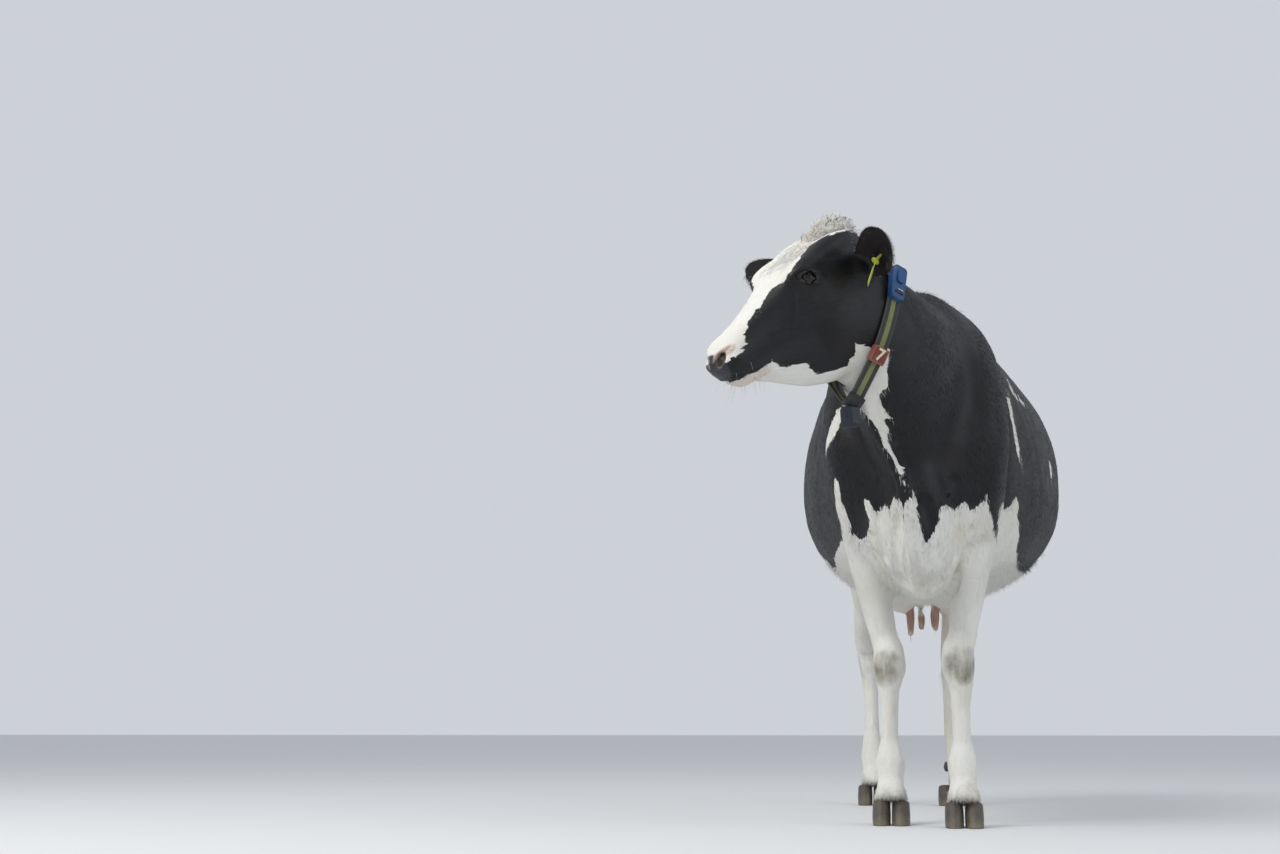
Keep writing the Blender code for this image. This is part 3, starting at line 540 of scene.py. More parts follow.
nostrilGap = np.full(len(local), 9.0)
for side in (1, -1):
    flip = np.array((side, 1, 1))
    gap = capsules(local, [(*(flip * np.array(row[:3])), row[3]) for row in face["nostril"]])
    inward = -np.array(Vector(face["nostrilOut"]).normalized()) * flip
    local = local + inward * (face["nostrilDepth"] * smoothStep(0.0015, -0.0065, gap))[:, None]
    local = local + normals * (0.0022 * bell(gap - 0.0035, 0.0032))[:, None]
    nostrilGap = np.minimum(nostrilGap, gap)

eyeRho = np.full(len(local), 9.0)
for side in (1, -1):
    local, rho = lidsAround(local, side)
    eyeRho = np.minimum(eyeRho, rho)
setCoords(skin.data, applied(local, headAt))
print("face sculpted")

# the hide lies under the coat by the coat's depth
local = applied(coordsOf(skin.data), toHead)
body = coordsOf(skin.data) - bodyOrigin
onUdder = nearness(body + bodyOrigin, ["udder"] + teatNodes, 0.012)
onUdder = onUdder * smoothStep(0.105, 0.085, np.abs(body[:, 0])) * smoothStep(0.72, 0.67, body[:, 2])
onUdder = onUdder * smoothStep(0.90, 0.98, body[:, 1]) * smoothStep(1.36, 1.28, body[:, 1])
inFace = smoothStep(0.03, -0.03, local[:, 1]) * smoothStep(0.9, 1.0, body[:, 2]) * headZone(local)
noseness = smoothStep(1.08, 0.92, lengths((local - (0, -0.560, -0.106)) / (0.046, 0.036, 0.047)))
noseness = noseness * smoothStep(-0.150, -0.144, local[:, 2])
onPoll = smoothStep(0.085, 0.055, lengths((local - (0, -0.012, 0.015)) * (1, 0.8, 1)))
onSwitch = smoothStep(1.49, 1.51, body[:, 1]) * smoothStep(0.80, 0.66, body[:, 2])
earness = nearness(body + bodyOrigin, ["ear_left", "ear_right"], 0.010)
depth = np.full(len(body), skinSizes["coatDepth"])
for mask, value in ((smoothStep(0.55, 0.45, body[:, 2]), 0.002), (inFace, 0.0012), (onPoll, 0.013), (onSwitch, 0.014),
                    (smoothStep(0.2, 0.6, earness), 0.0), (onUdder, 0.0005), (noseness, 0.0),
                    (smoothStep(2.8, 2.2, eyeRho), 0.0)):
    depth = depth * (1 - mask) + value * mask
setCoords(skin.data, body + bodyOrigin - normalsOf(skin.data) * depth[:, None])
body = coordsOf(skin.data) - bodyOrigin
local = applied(coordsOf(skin.data), toHead)
(bodyX, bodyY, bodyZ), (headX, headY, headZ) = body.T, local.T

# the markings, as outlines of white hair in metres
marks = {
    # head: half-width of the blaze at each place from the poll to the muzzle
    "blaze": [(0.05, 0.030), (-0.01, 0.058), (-0.045, 0.078), (-0.085, 0.074), (-0.117, 0.055), (-0.139, 0.042),
        (-0.181, 0.055), (-0.227, 0.077), (-0.261, 0.075), (-0.277, 0.064), (-0.293, 0.048), (-0.322, 0.036),
        (-0.375, 0.034), (-0.422, 0.036), (-0.444, 0.043), (-0.484, 0.054), (-0.508, 0.058), (-0.56, 0.065)],
    # head from its side: the white of the lower jaw
    "jaw": [(-0.415, -0.160), (-0.404, -0.179), (-0.373, -0.200), (-0.345, -0.211), (-0.325, -0.216),
        (-0.322, -0.236), (-0.312, -0.259), (-0.269, -0.279), (-0.238, -0.286), (-0.215, -0.291), (-0.204, -0.279),
        (-0.180, -0.282), (-0.192, -0.304), (-0.201, -0.318), (-0.203, -0.345), (-0.20, -0.42), (-0.62, -0.42),
        (-0.62, -0.146), (-0.535, -0.147), (-0.50, -0.153), (-0.46, -0.161)],
    # body from the front: the throat, and all that lies below the black of the shoulders
    "throat": [(-0.20, 1.22), (-0.062, 1.21), (-0.066, 1.15), (-0.066, 1.123), (-0.087, 1.099), (-0.082, 1.075),
        (-0.068, 1.059), (-0.059, 1.045), (-0.076, 1.040), (-0.068, 1.016), (-0.073, 0.980), (-0.089, 0.997),
        (-0.094, 1.015), (-0.113, 1.038), (-0.133, 1.059), (-0.20, 1.10)],
    "chest": [(-0.60, 0.0), (-0.60, 0.70), (-0.36, 0.765), (-0.311, 0.80), (-0.262, 0.762), (-0.225, 0.80),
        (-0.19, 0.792), (-0.169, 0.778), (-0.158, 0.762), (-0.134, 0.776), (-0.127, 0.807), (-0.137, 0.847),
        (-0.141, 0.870), (-0.131, 0.852), (-0.118, 0.837), (-0.099, 0.827), (-0.090, 0.848), (-0.072, 0.822),
        (-0.065, 0.854), (-0.044, 0.839), (-0.037, 0.814), (-0.033, 0.780), (-0.027, 0.842), (-0.003, 0.842),
        (0.001, 0.801), (0.008, 0.785), (0.017, 0.730), (0.040, 0.758), (0.055, 0.80), (0.060, 0.832), (0.078, 0.834),
        (0.097, 0.826), (0.124, 0.851), (0.136, 0.829), (0.158, 0.837), (0.172, 0.865), (0.183, 0.880),
        (0.186, 0.842), (0.196, 0.815), (0.201, 0.774), (0.211, 0.770), (0.214, 0.800), (0.218, 0.850),
        (0.258, 0.887), (0.278, 0.914), (0.286, 0.900), (0.279, 0.866), (0.289, 0.842), (0.284, 0.802),
        (0.281, 0.763), (0.297, 0.748), (0.33, 0.72), (0.40, 0.69), (0.60, 0.66), (0.60, 0.0)],
    # hindquarters from the side, unseen: legs, flank and thigh
    "rearLeft": [(0.5, 0.0), (0.5, 0.66), (0.72, 0.69), (0.86, 0.74), (0.92, 0.86), (0.97, 1.02), (1.03, 1.10),
        (1.06, 1.02), (1.05, 0.90), (1.10, 0.80), (1.20, 0.76), (1.26, 0.84), (1.31, 0.99), (1.38, 1.05),
        (1.44, 0.98), (1.47, 0.80), (1.60, 0.74), (1.60, 0.0)],
    "rearRight": [(0.5, 0.0), (0.5, 0.68), (0.66, 0.72), (0.76, 0.84), (0.90, 0.80), (1.00, 0.74), (1.12, 0.77),
        (1.20, 0.93), (1.24, 1.14), (1.31, 1.22), (1.36, 1.10), (1.38, 0.92), (1.46, 0.82), (1.60, 0.72),
        (1.60, 0.0)],
    # white between the jaw and the throat
    "joins": [[(-0.165, -0.480, 1.140, 0.020), (-0.147, -0.505, 1.158, 0.024), (-0.120, -0.478, 1.092, 0.018)]],
    # white flecks: places in body coordinates, each with its radius
    "flecks": [ [(-0.075, -0.437, 0.990, 0.012), (-0.049, -0.399, 0.940, 0.012), (-0.035, -0.387, 0.894, 0.013),
        (-0.018, -0.370, 0.855, 0.015), (-0.010, -0.36, 0.83, 0.016)], [(0.260, 0.320, 1.300, 0.004),
        (0.276, 0.290, 1.245, 0.013), (0.306, 0.361, 1.225, 0.012), (0.322, 0.412, 1.219, 0.004)],
        [(0.262, 0.240, 1.235, 0.006), (0.266, 0.211, 1.190, 0.015), (0.277, 0.211, 1.120, 0.016),
        (0.290, 0.236, 1.050, 0.012), (0.297, 0.250, 0.995, 0.003)], [(0.398, 0.579, 1.070, 0.007),
        (0.405, 0.599, 1.045, 0.013), (0.402, 0.579, 1.008, 0.008)], [(-0.196, -0.260, 1.150, 0.006),
        (-0.205, -0.205, 1.105, 0.016), (-0.227, -0.190, 1.055, 0.020), (-0.247, -0.146, 1.010, 0.006)],
        [(-0.214, -0.17, 0.915, 0.014), (-0.210, -0.11, 0.80, 0.03)], [(0.02, 1.30, 1.47, 0.05),
        (-0.04, 1.22, 1.49, 0.09), (-0.16, 1.16, 1.42, 0.07)], [(-0.37, 0.90, 1.20, 0.05), (-0.38, 1.00, 1.10, 0.07)],
        [(0.38, 0.98, 1.34, 0.045), (0.33, 1.08, 1.25, 0.06)], [(0.06, 1.55, 0.95, 0.03), (0.09, 1.55, 0.70, 0.08),
        (0.09, 1.54, 0.40, 0.10)], ],
}


def whiteness(body, local):
    # metres inside the white hair, negative in the black
    (bodyX, bodyY, bodyZ), (headX, headY, headZ) = body.T, local.T
    front = np.stack([bodyX, bodyZ + 0.02 * np.sin(bodyY * 13 + 1) * smoothStep(0.3, 0.5, bodyY)], 1)
    side = np.stack([bodyY, bodyZ], 1)
    fore = polygonDistance(front, marks["chest"])
    rear = np.where(bodyX > 0.02, polygonDistance(side, marks["rearLeft"]), polygonDistance(side, marks["rearRight"]))
    swap = smoothStep(0.66, 0.90, bodyY)
    white = fore * (1 - swap) + rear * swap
    throat = np.minimum(polygonDistance(front, marks["throat"]), -0.37 - bodyY)
    white = np.maximum(white, throat)
    for rows in marks["flecks"]:
        white = np.maximum(white, -capsules(body, rows))
    spots = marks["blaze"]
    half = np.interp(-headY, [-m[0] for m in spots], [m[1] for m in spots])
    half = half + 0.040 * smoothStep(-0.01, -0.04, headX) * smoothStep(-0.26, -0.18, headY)
    blaze = np.minimum(half - np.abs(headX), headZ + 0.090)
    blaze = np.minimum(blaze, 0.045 - headY)
    jaw = polygonDistance(np.stack([headY, headZ], 1), marks["jaw"])
    head = np.maximum(blaze, jaw)
    inHead = (headY < 0.06) & (bodyZ > 0.98) & (headZone(local) > 0.5)
    onNeck = inHead & (headZ < -0.24) & (headY > -0.19)
    found = np.where(inHead & ~onNeck, head, white)
    for rows in marks["joins"]:
        found = np.maximum(found, -capsules(body, rows))
    return found


def lieOf(body, local, normals):
    # the way the hair lies at each place
    (_, bodyY, bodyZ), (headX, headY, headZ) = body.T, local.T
    def blend(a, b, t):
        return a * (1 - t[:, None]) + np.array(b, float) * t[:, None]

    way = np.tile(np.array([0.0, 0.86, -0.50]), (len(body), 1))
    way = blend(way, (0.12, 0.62, -0.76), smoothStep(0.10, -0.15, bodyY))
    way = blend(way, (0.0, 0.12, -1.0), smoothStep(-0.12, -0.22, bodyY) * smoothStep(1.0, 0.9, bodyZ))
    way = blend(way, (0.0, 1.0, 0.0), smoothStep(-0.3, -0.8, normals[:, 2]))
    way = blend(way, (0.0, 0.25, -1.0), smoothStep(1.20, 1.36, bodyY))
    way = blend(way, (0.0, 0.12, -1.0), smoothStep(0.66, 0.56, bodyZ))
    turn = headAxes.T
    headWay = np.tile(np.array([0.0, 0.62, -0.60]) @ turn, (len(body), 1))
    dorsal = smoothStep(-0.05, -0.015, headZ)
    toward = smoothStep(-0.24, -0.17, headY) * 2 - 1
    top = np.stack([headX * 3, toward, 0 * toward], 1) @ turn
    headWay = headWay * (1 - dorsal[:, None]) + top * dorsal[:, None]
    snout = smoothStep(-0.36, -0.46, headY)[:, None]
    headWay = headWay * (1 - snout) + (np.array([0.0, -0.5, -0.4]) @ turn) * snout
    inHead = (smoothStep(0.06, 0.0, headY) * smoothStep(0.98, 1.06, bodyZ) * headZone(local))[:, None]
    way = way * (1 - inHead) + headWay * inHead
    for side in (1, -1):
        onThis = (smoothStep(0.100, 0.118, side * headX) * smoothStep(-0.17, -0.13, headY) * inHead[:, 0])[:, None]
        way = way * (1 - onThis) + (np.array(earAxes(side)[0]) @ turn) * onThis
    return unit(way - normals * np.sum(way * normals, 1)[:, None])


def streakPlace(body, local):
    # a place stretched along the hair, so that a pattern on it runs in strands
    (_, bodyY, bodyZ), (_, headY, _) = body.T, local.T
    def stretched(points, along):
        along = Vector(along).normalized()
        side = along.cross(Vector((0, 0, 1)) if abs(along.z) < 0.9 else Vector((1, 0, 0))).normalized()
        basis = np.array([side, along.cross(side), along * 0.12])
        return points @ basis.T

    place = stretched(body, (0.0, 0.86, -0.50))
    for along, mask in (((0.12, 0.62, -0.76), smoothStep(0.10, -0.15, bodyY)),
                        ((0.0, 0.12, -1.0), smoothStep(0.70, 0.56, bodyZ))):
        place = place * (1 - mask[:, None]) + stretched(body, along) * mask[:, None]
    inHead = (smoothStep(0.06, 0.0, headY) * smoothStep(0.98, 1.06, bodyZ) * headZone(local))[:, None]
    return place * (1 - inHead) + stretched(local, (0, 0.9, -0.3)) * inHead


def giveField(mesh, name, values):
    values = np.asarray(values, dtype=np.float32)
    kind = "FLOAT_VECTOR" if values.ndim == 2 else "FLOAT"
    field = mesh.attributes.new(name, kind, "POINT")
    field.data.foreach_set("vector" if values.ndim == 2 else "value", np.ascontiguousarray(values).ravel())


def coatFields(body, local):
    return {"white": whiteness(body, local), "rootPlace": body, "streak": streakPlace(body, local)}


def giveFields(mesh, fields):
    for name, values in fields.items():
        giveField(mesh, name, values)


pinkness = smoothStep(0.011, 0.002, nostrilGap) * smoothStep(-0.086, -0.074, headZ) * 0.8
pinkness = np.maximum(pinkness, smoothStep(0.001, -0.003, nostrilGap) * smoothStep(-0.076, -0.088, headZ) * 0.6)
# painted shade: the inside of each nostril is darkened, most at its top
nostrilShadeMask = smoothStep(-0.001, -0.0065, nostrilGap) * (0.55 + 0.45 * smoothStep(-0.092, -0.078, headZ))
lineAt = lipLine(local)
lipness = smoothStep(0.020, 0.006, np.abs(headZ - lineAt + 0.012)) * smoothStep(-0.415, -0.44, headY)
lipness = lipness * smoothStep(-0.001, -0.005, headZ - lineAt)
teats = nearness(body + bodyOrigin, teatNodes, 0.006)
inEar = earness * 0
for side in (1, -1):
    facing = normalsOf(skin.data) @ headAxes @ np.array(earAxes(side)[2])
    inEar = np.maximum(inEar, smoothStep(0.2, 0.6, facing) * smoothStep(0.3, 0.6, earness) * (headX * side > 0))
giveFields(skin.data, coatFields(body, local))
giveFields(skin.data, {"pit": nostrilShadeMask, "nose": noseness, "pink": np.maximum(pinkness, lipness * 0.6),
                       "rim": smoothStep(1.9, 1.10, eyeRho), "bare": onUdder, "teat": teats, "inEar": inEar,
                       "tuftShade": np.full(len(body), 0.5)})
print("markings laid")

# an unwrap of the hide's own shape
bpy.context.view_layer.objects.active = skin
skin.select_set(True)
for old in list(skin.data.uv_layers):
    skin.data.uv_layers.remove(old)
skin.data.uv_layers.new(name="OFBake")
bpy.ops.object.mode_set(mode="EDIT")
bpy.ops.mesh.select_all(action="SELECT")
bpy.ops.uv.smart_project(angle_limit=math.radians(66), island_margin=0.001)
bpy.ops.object.mode_set(mode="OBJECT")
skin.select_set(False)
shadeSmooth(skin)
settle(skin, "black_coat", *skinSizes["fleshNodes"])
print("hide unwrapped", len(skin.data.polygons))


class Wire:
    # one output of a node; sums and products of wires add Math nodes
    def __init__(self, finish, out):
        self.finish, self.out = finish, out

    def math(self, operation, *others, clamp=False):
        settings = {"operation": operation, "use_clamp": clamp}
        return self.finish.node("Math", settings, dict(enumerate((self,) + others)))

    def __add__(self, other):
        return self.math("ADD", other)

    def __sub__(self, other):
        return self.math("SUBTRACT", other)

    def __rsub__(self, other):
        return self.finish.node("Math", {"operation": "SUBTRACT"}, {0: other, 1: self})

    def __mul__(self, other):
        return self.math("MULTIPLY", other)

    def __truediv__(self, other):
        return self.math("DIVIDE", other)

    __radd__, __rmul__ = __add__, __mul__

    def clamp(self):
        return self.math("ADD", 0.0, clamp=True)

    def step(self, low, high):
        settings = {"interpolation_type": "SMOOTHSTEP"}
        return self.finish.node("MapRange", settings, {0: self, 1: low, 2: high, 3: 0.0, 4: 1.0})


class Finish:
    # one material, built from wires into its Principled BSDF
    def __init__(self, name, **fixed):
        self.material = bpy.data.materials.new(name)
        self.material.use_nodes = True
        self.tree = self.material.node_tree
        self.shader = self.tree.nodes["Principled BSDF"]
        self.give(**fixed)

    def give(self, **values):
        for key, value in values.items():
            self.plug(self.shader.inputs[key.replace("_", " ")], value)

    def plug(self, socket, value):
        if isinstance(value, Wire):
            self.tree.links.new(value.out, socket)
        elif isinstance(value, (tuple, list, Vector)):
            full = tuple(value) + (1.0,) if len(value) == 3 and socket.type == "RGBA" else tuple(value)
            socket.default_value = full
        else:
            socket.default_value = value

    def node(self, kind, settings=None, values=None, out=0):
        made = self.tree.nodes.new("ShaderNode" + kind)
        for key, value in (settings or {}).items():
            setattr(made, key, value)
        for key, value in (values or {}).items():
            self.plug(made.inputs[key], value)
        return Wire(self, made.outputs[out])

    def mix(self, first, second, factor):
        return self.node("Mix", {"data_type": "RGBA"}, {0: factor, 6: first, 7: second}, out=2)

    def field(self, name, vector=False):
        return self.node("Attribute", {"attribute_name": name}, out=1 if vector else 2)

    def place(self):
        return self.node("TexCoord", out=3)

    def scaled(self, vector, scale, offset=(0, 0, 0)):
        scale = scale if isinstance(scale, tuple) else (scale,) * 3
        return self.node("Mapping", None, {0: vector, 1: offset, 3: scale})

    def noise(self, vector, scale, detail=2.0, rough=0.5):
        return self.node("TexNoise", None, {"Vector": vector, "Scale": scale, "Detail": detail, "Roughness": rough})

    def part(self, vector, axis):
        return self.node("SeparateXYZ", None, {0: vector}, out=axis)

    def bump(self, height, distance, strength=1.0):
        self.give(Normal=self.node("Bump", None, {"Height": height, "Distance": distance, "Strength": strength}))


hair = {
    "blackDeep": (0.0030, 0.0031, 0.0040),
    # the lighter black of the strands: partly their own tone, partly a painted bluish sheen
    "blackToneAndSheen": (0.0230, 0.0235, 0.0290),
    "brownTinge": (0.020, 0.014, 0.011),
    "whiteDeep": (0.50, 0.485, 0.43),
    "whiteLight": (0.80, 0.79, 0.75),
    "cream": (0.62, 0.575, 0.45),
    "dirt": (0.15, 0.135, 0.075),
    "skinPink": (0.56, 0.37, 0.31),
    "lipPink": (0.62, 0.49, 0.42),
    "slate": (0.030, 0.034, 0.042),
    "teat": (0.30, 0.175, 0.125),
    "inEar": (0.030, 0.025, 0.025),
    # painted shade inside the nostrils
    "pit": (0.018, 0.011, 0.011),
}


def coatFinish(name, bare):
    made = Finish(name, IOR=1.5)
    place, streak = made.field("rootPlace", True), made.field("streak", True)
    strand = made.noise(streak, 380.0, 2.0, 0.6)
    ribbon = made.noise(streak, 95.0, 3.0, 0.55)
    broad = made.noise(place, 7.0, 3.0)
    shade = made.field("tuftShade")
    tone = (strand * 0.55 + ribbon * 0.45 + shade * 0.30 - 0.20).clamp()
    # the black lightens along the strand streaks: partly strand tone, partly painted sheen
    black = made.mix(hair["blackDeep"], hair["blackToneAndSheen"], tone * tone)
    black = made.mix(black, hair["brownTinge"], (broad - 0.55).clamp() * 1.6)
    white = made.mix(hair["whiteDeep"], hair["whiteLight"], (tone * 0.9 + 0.30).clamp())
    white = made.mix(white, hair["cream"], broad.step(0.45, 0.75) * 0.45)
    ragged = (made.noise(streak, 120.0, 3.0) - 0.5) * 0.020 + (made.noise(place, 26.0, 2.0) - 0.5) * 0.012
    edge = made.field("white") + ragged
    isWhite = edge.step(-0.0012, 0.0012)
    aside, along, height = made.part(place, 0), made.part(place, 1), made.part(place, 2)
    dirtPlace = made.noise(place, 16.0, 4.0, 0.6)
    overKnee, sideKnee = (height - 0.425) / 0.060, (aside.math("ABSOLUTE") - 0.108) / 0.062
    knee = (overKnee * overKnee + sideKnee * sideKnee).step(1.5, 0.1) * along.step(0.10, 0.02)
    hock = height.step(0.60, 0.50) * height.step(0.36, 0.46) * along.step(0.9, 1.0)
    low = knee * 0.42 + height.step(0.20, 0.05) * 0.26 + hock * 0.2
    dirty = ((dirtPlace * 0.7 + ribbon * 0.3 + low - 0.68).clamp() * 2.6 * isWhite * height.step(0.64, 0.56)).clamp()
    white = made.mix(white, hair["dirt"], dirty * 0.85)
    colour = made.mix(black, white, isWhite)
    rough = 0.42 + isWhite * 0.30 + strand * 0.10
    if bare:
        fine = made.noise(place, 240.0, 3.0)
        pebbles = made.node("TexVoronoi", {"feature": "DISTANCE_TO_EDGE"}, {"Vector": place, "Scale": 330.0})
        nose, pink = made.field("nose"), made.field("pink")
        skinTone = made.mix(hair["skinPink"], hair["cream"], fine.step(0.4, 0.7) * 0.4)
        colour = made.mix(colour, skinTone, made.field("bare").step(0.3, 0.95) * 0.25)
        teatTone = made.mix(hair["teat"], hair["skinPink"], fine * 0.35)
        colour = made.mix(colour, teatTone, made.field("teat").step(0.3, 0.8))
        slate = made.mix(hair["slate"], (0.060, 0.064, 0.074), fine.step(0.45, 0.8))
        colour = made.mix(colour, slate, nose)
        lip = made.mix(hair["lipPink"], hair["skinPink"], fine * 0.5)
        lip = made.mix(lip, hair["slate"], made.noise(place, 90.0, 2.0).step(0.60, 0.68) * 0.5)
        colour = made.mix(colour, lip, (pink * (0.75 + fine * 0.5)).clamp())
        # the painted shade inside the nostrils goes over the hide's colour
        colour = made.mix(colour, hair["pit"], made.field("pit"))
        colour = made.mix(colour, (0.034, 0.028, 0.027), made.field("rim"))
        colour = made.mix(colour, hair["inEar"], made.field("inEar") * 0.85)
        rough = rough - nose * 0.16
        bareHeight = nose * pebbles * 2.4 + (strand * 0.6 + ribbon * 0.9) * (1 - nose) + fine * 0.12
        made.bump(bareHeight, 0.0016, 0.5)
    made.give(Base_Color=colour, Roughness=rough, Specular_IOR_Level=0.30)
    return made.material


skin.data.materials.append(coatFinish("hideWithShortHair", True))
tuftFinish = coatFinish("coatHair", False)
print("coat finishes made")


strands = {"patch": 0.003, "pieceLimit": 196000}  # each one's place on the unwrap, and the triangles in a piece


def strandShape(levels, sides=3):
    # one strand, a unit long and a unit wide at its root: a cone ringed at the given levels
    bm = bmesh.new()
    bmesh.ops.create_cone(bm, cap_ends=True, segments=sides, radius1=0.5, radius2=0.0, depth=1.0,
                          matrix=Matrix.Translation((0, 0, 0.5)))
    for level in levels:
        bmesh.ops.bisect_plane(bm, geom=bm.verts[:] + bm.edges[:] + bm.faces[:], dist=1e-6, plane_co=(0, 0, level),
                               plane_no=(0, 0, 1))
    bmesh.ops.triangulate(bm, faces=bm.faces[:])
    bmesh.ops.recalc_face_normals(bm, faces=bm.faces[:])
    for vert in bm.verts:
        fuller = (1 - vert.co.z**1.8) / max(1 - vert.co.z, 1e-6) if vert.co.z < 0.999 else 0.0
        vert.co.x, vert.co.y = vert.co.x * fuller, vert.co.y * fuller
    bm.verts.ensure_lookup_table()
    verts = np.array([v.co[:] for v in bm.verts])
    faces = np.array([[v.index for v in f.verts] for f in bm.faces])
    bm.free()
    return verts, faces


hide = skin.data
hide.calc_loop_triangles()
triVerts = numbersOf(hide.loop_triangles, "vertices", 3, np.int64)
triLoops = numbersOf(hide.loop_triangles, "loops", 3, np.int64)
hideCo, hideNormals = coordsOf(hide), normalsOf(hide)
hideUv = numbersOf(hide.uv_layers["OFBake"].data, "uv", 2)
corners = hideCo[triVerts]
triArea = lengths(np.cross(corners[:, 1] - corners[:, 0], corners[:, 2] - corners[:, 0])) / 2
centres = corners.mean(1)
cells = np.floor(centres / 0.05).astype(int)
inOrder = np.lexsort((cells[:, 0], cells[:, 1], cells[:, 2]))


def rootsOn(density):
    # even random roots over the hide; density, by point of the hide, is in strands per square metre
    weight = (density[triVerts].mean(1) * triArea)[inOrder]
    total = weight.sum()
    count = int(total)
    at = (np.arange(count) + seeded.random(count)) / count * total
    tri = inOrder[np.minimum(np.searchsorted(np.cumsum(weight), at), len(weight) - 1)]
    a, b = seeded.random(count), seeded.random(count)
    flip = a + b > 1
    a, b = np.where(flip, 1 - a, a), np.where(flip, 1 - b, b)
    share = np.stack([1 - a - b, a, b], 1)
    pick = lambda values: np.einsum("ij,ij...->i...", share, values)
    roots = {
        "place": pick(hideCo[triVerts[tri]]),
        "normal": unit(pick(hideNormals[triVerts[tri]])),
        "uv": pick(hideUv[triLoops[tri]]),
        "pick": lambda values: pick(np.asarray(values)[triVerts[tri]]),
        "count": count,
    }
    roots["body"] = roots["place"] - bodyOrigin
    roots["local"] = applied(roots["place"], toHead)
    return roots


def growHair(name, roots, ways, length, width, rise=0.2, fall=0.14, sag=0.0, curl=0.0, turns=0.0, levels=(0.5,),
             thick=0.4, whiteJitter=0.003, shade=None, white=None, sink=0.0012, soft=0.55):
    # strands from their roots, each lying along its way, in pieces small enough to keep
    shape, faces = strandShape(levels)
    count = roots["count"]
    ones = np.ones(count)
    length, width, rise, fall, sag, curl = (np.asarray(v) * ones for v in (length, width, rise, fall, sag, curl))
    fields = coatFields(roots["body"], roots["local"])
    fields["white"] = (fields["white"] if white is None else white * ones) + seeded.normal(0, whiteJitter, count)
    fields["tuftShade"] = seeded.random(count) if shade is None else shade
    side = unit(np.cross(roots["normal"], ways))
    over = np.cross(ways, side)
    z = shape[:, 2][None, :]
    run = (length[:, None] * z)[..., None] * ways[:, None, :]
    lift = length[:, None] * (rise[:, None] * z - fall[:, None] * z**2) - sink
    lift = lift[..., None] * roots["normal"][:, None, :]
    droop = (length[:, None] * sag[:, None] * z**2)[..., None] * np.array([0, 0, -1.0])
    phase = (seeded.random(count) * 6.283)[:, None] + turns * 6.283 * z
    wave = curl[:, None] * np.minimum(z * 3, 1)
    bend = (wave * np.cos(phase))[..., None] * side[:, None, :] + (wave * np.sin(phase))[..., None] * over[:, None, :]
    spread = (shape[:, 0][None, :] * width[:, None])[..., None] * side[:, None, :]
    spread = spread + (shape[:, 1][None, :] * width[:, None] * thick)[..., None] * over[:, None, :]
    verts = roots["place"][:, None, :] + run + lift + droop + bend + spread
    patch = np.stack([shape[:, 0], shape[:, 2] - 0.5], 1) * strands["patch"]
    uv = roots["uv"][:, None, :] + patch[None]
    most = strands["pieceLimit"] // len(faces)
    pieces = max(1, math.ceil(count / most))
    for k, rows in enumerate(np.array_split(np.arange(count), pieces)):
        label = name + (str(k + 1) if pieces > 1 else "")
        mesh = bpy.data.meshes.new(label)
        n = len(rows)
        allFaces = (faces[None] + (np.arange(n) * len(shape))[:, None, None]).reshape(-1, 3)
        mesh.vertices.add(n * len(shape))
        mesh.loops.add(allFaces.size)
        mesh.polygons.add(len(allFaces))
        mesh.vertices.foreach_set("co", verts[rows].astype(np.float32).ravel())
        mesh.polygons.foreach_set("loop_start", np.arange(len(allFaces), dtype=np.int32) * 3)
        mesh.loops.foreach_set("vertex_index", allFaces.astype(np.int32).ravel())
        mesh.update(calc_edges=True)
        layer = mesh.uv_layers.new(name="OFBake")
        layer.data.foreach_set("uv", uv[rows].reshape(-1, 2)[allFaces.ravel()].astype(np.float32).ravel())
        for field, values in fields.items():
            giveField(mesh, field, np.repeat(np.asarray(values)[rows], len(shape), axis=0))
        mesh.materials.append(tuftFinish)
        piece = addObject(label, mesh)
        shadeSmooth(piece)
        lit = unit(normalsOf(mesh) * (1 - soft) + np.repeat(roots["normal"][rows], len(shape), axis=0) * soft)
        mesh.normals_split_custom_set_from_vertices(lit.tolist())
        settle(piece, "black_coat")
    return count * len(faces)


coat = {  # strands in each square metre, length and width at each part of the body
    "body": (30000, 0.017, 0.0017),
    "neck": (30000, 0.018, 0.0016),
    "belly": (28000, 0.022, 0.0018),
    "leg": (38000, 0.012, 0.0014),
    "foot": (50000, 0.010, 0.0013),
    "cheek": (46000, 0.011, 0.0013),
    "face": (70000, 0.0075, 0.0010),
    "muzzle": (90000, 0.0045, 0.0008),
    "ear": (60000, 0.011, 0.0011),
    "tail": (34000, 0.018, 0.0017),
}


def coatSizes():
    sizes = np.tile(np.array(coat["body"]), (len(hideCo), 1))
    up = hideNormals[:, 2]
    for key, mask in (
        ("neck", smoothStep(0.05, -0.15, bodyY)),
        ("belly", smoothStep(-0.45, -0.75, up) * smoothStep(0.60, 0.64, bodyZ)),
        ("leg", smoothStep(0.70, 0.56, bodyZ)),
        ("foot", smoothStep(0.22, 0.14, bodyZ)),
        ("tail", smoothStep(1.49, 1.51, bodyY)),
        ("cheek", inFace),
        ("face", inFace * smoothStep(-0.14, -0.20, headY) * smoothStep(-0.16, -0.10, headZ)),
        ("muzzle", inFace * smoothStep(-0.42, -0.49, headY)),
        ("ear", smoothStep(0.3, 0.6, earness)),
    ):
        sizes = sizes * (1 - mask[:, None]) + np.array(coat[key]) * mask[:, None]
    bareness = np.maximum.reduce([noseness > 0.3, onUdder > 0.45, eyeRho < 1.25, nostrilGap < 0.003, teats > 0.2,
                                  lipness > 0.4, bodyZ < 0.052])
    sizes[:, 0] *= ~bareness
    return sizes


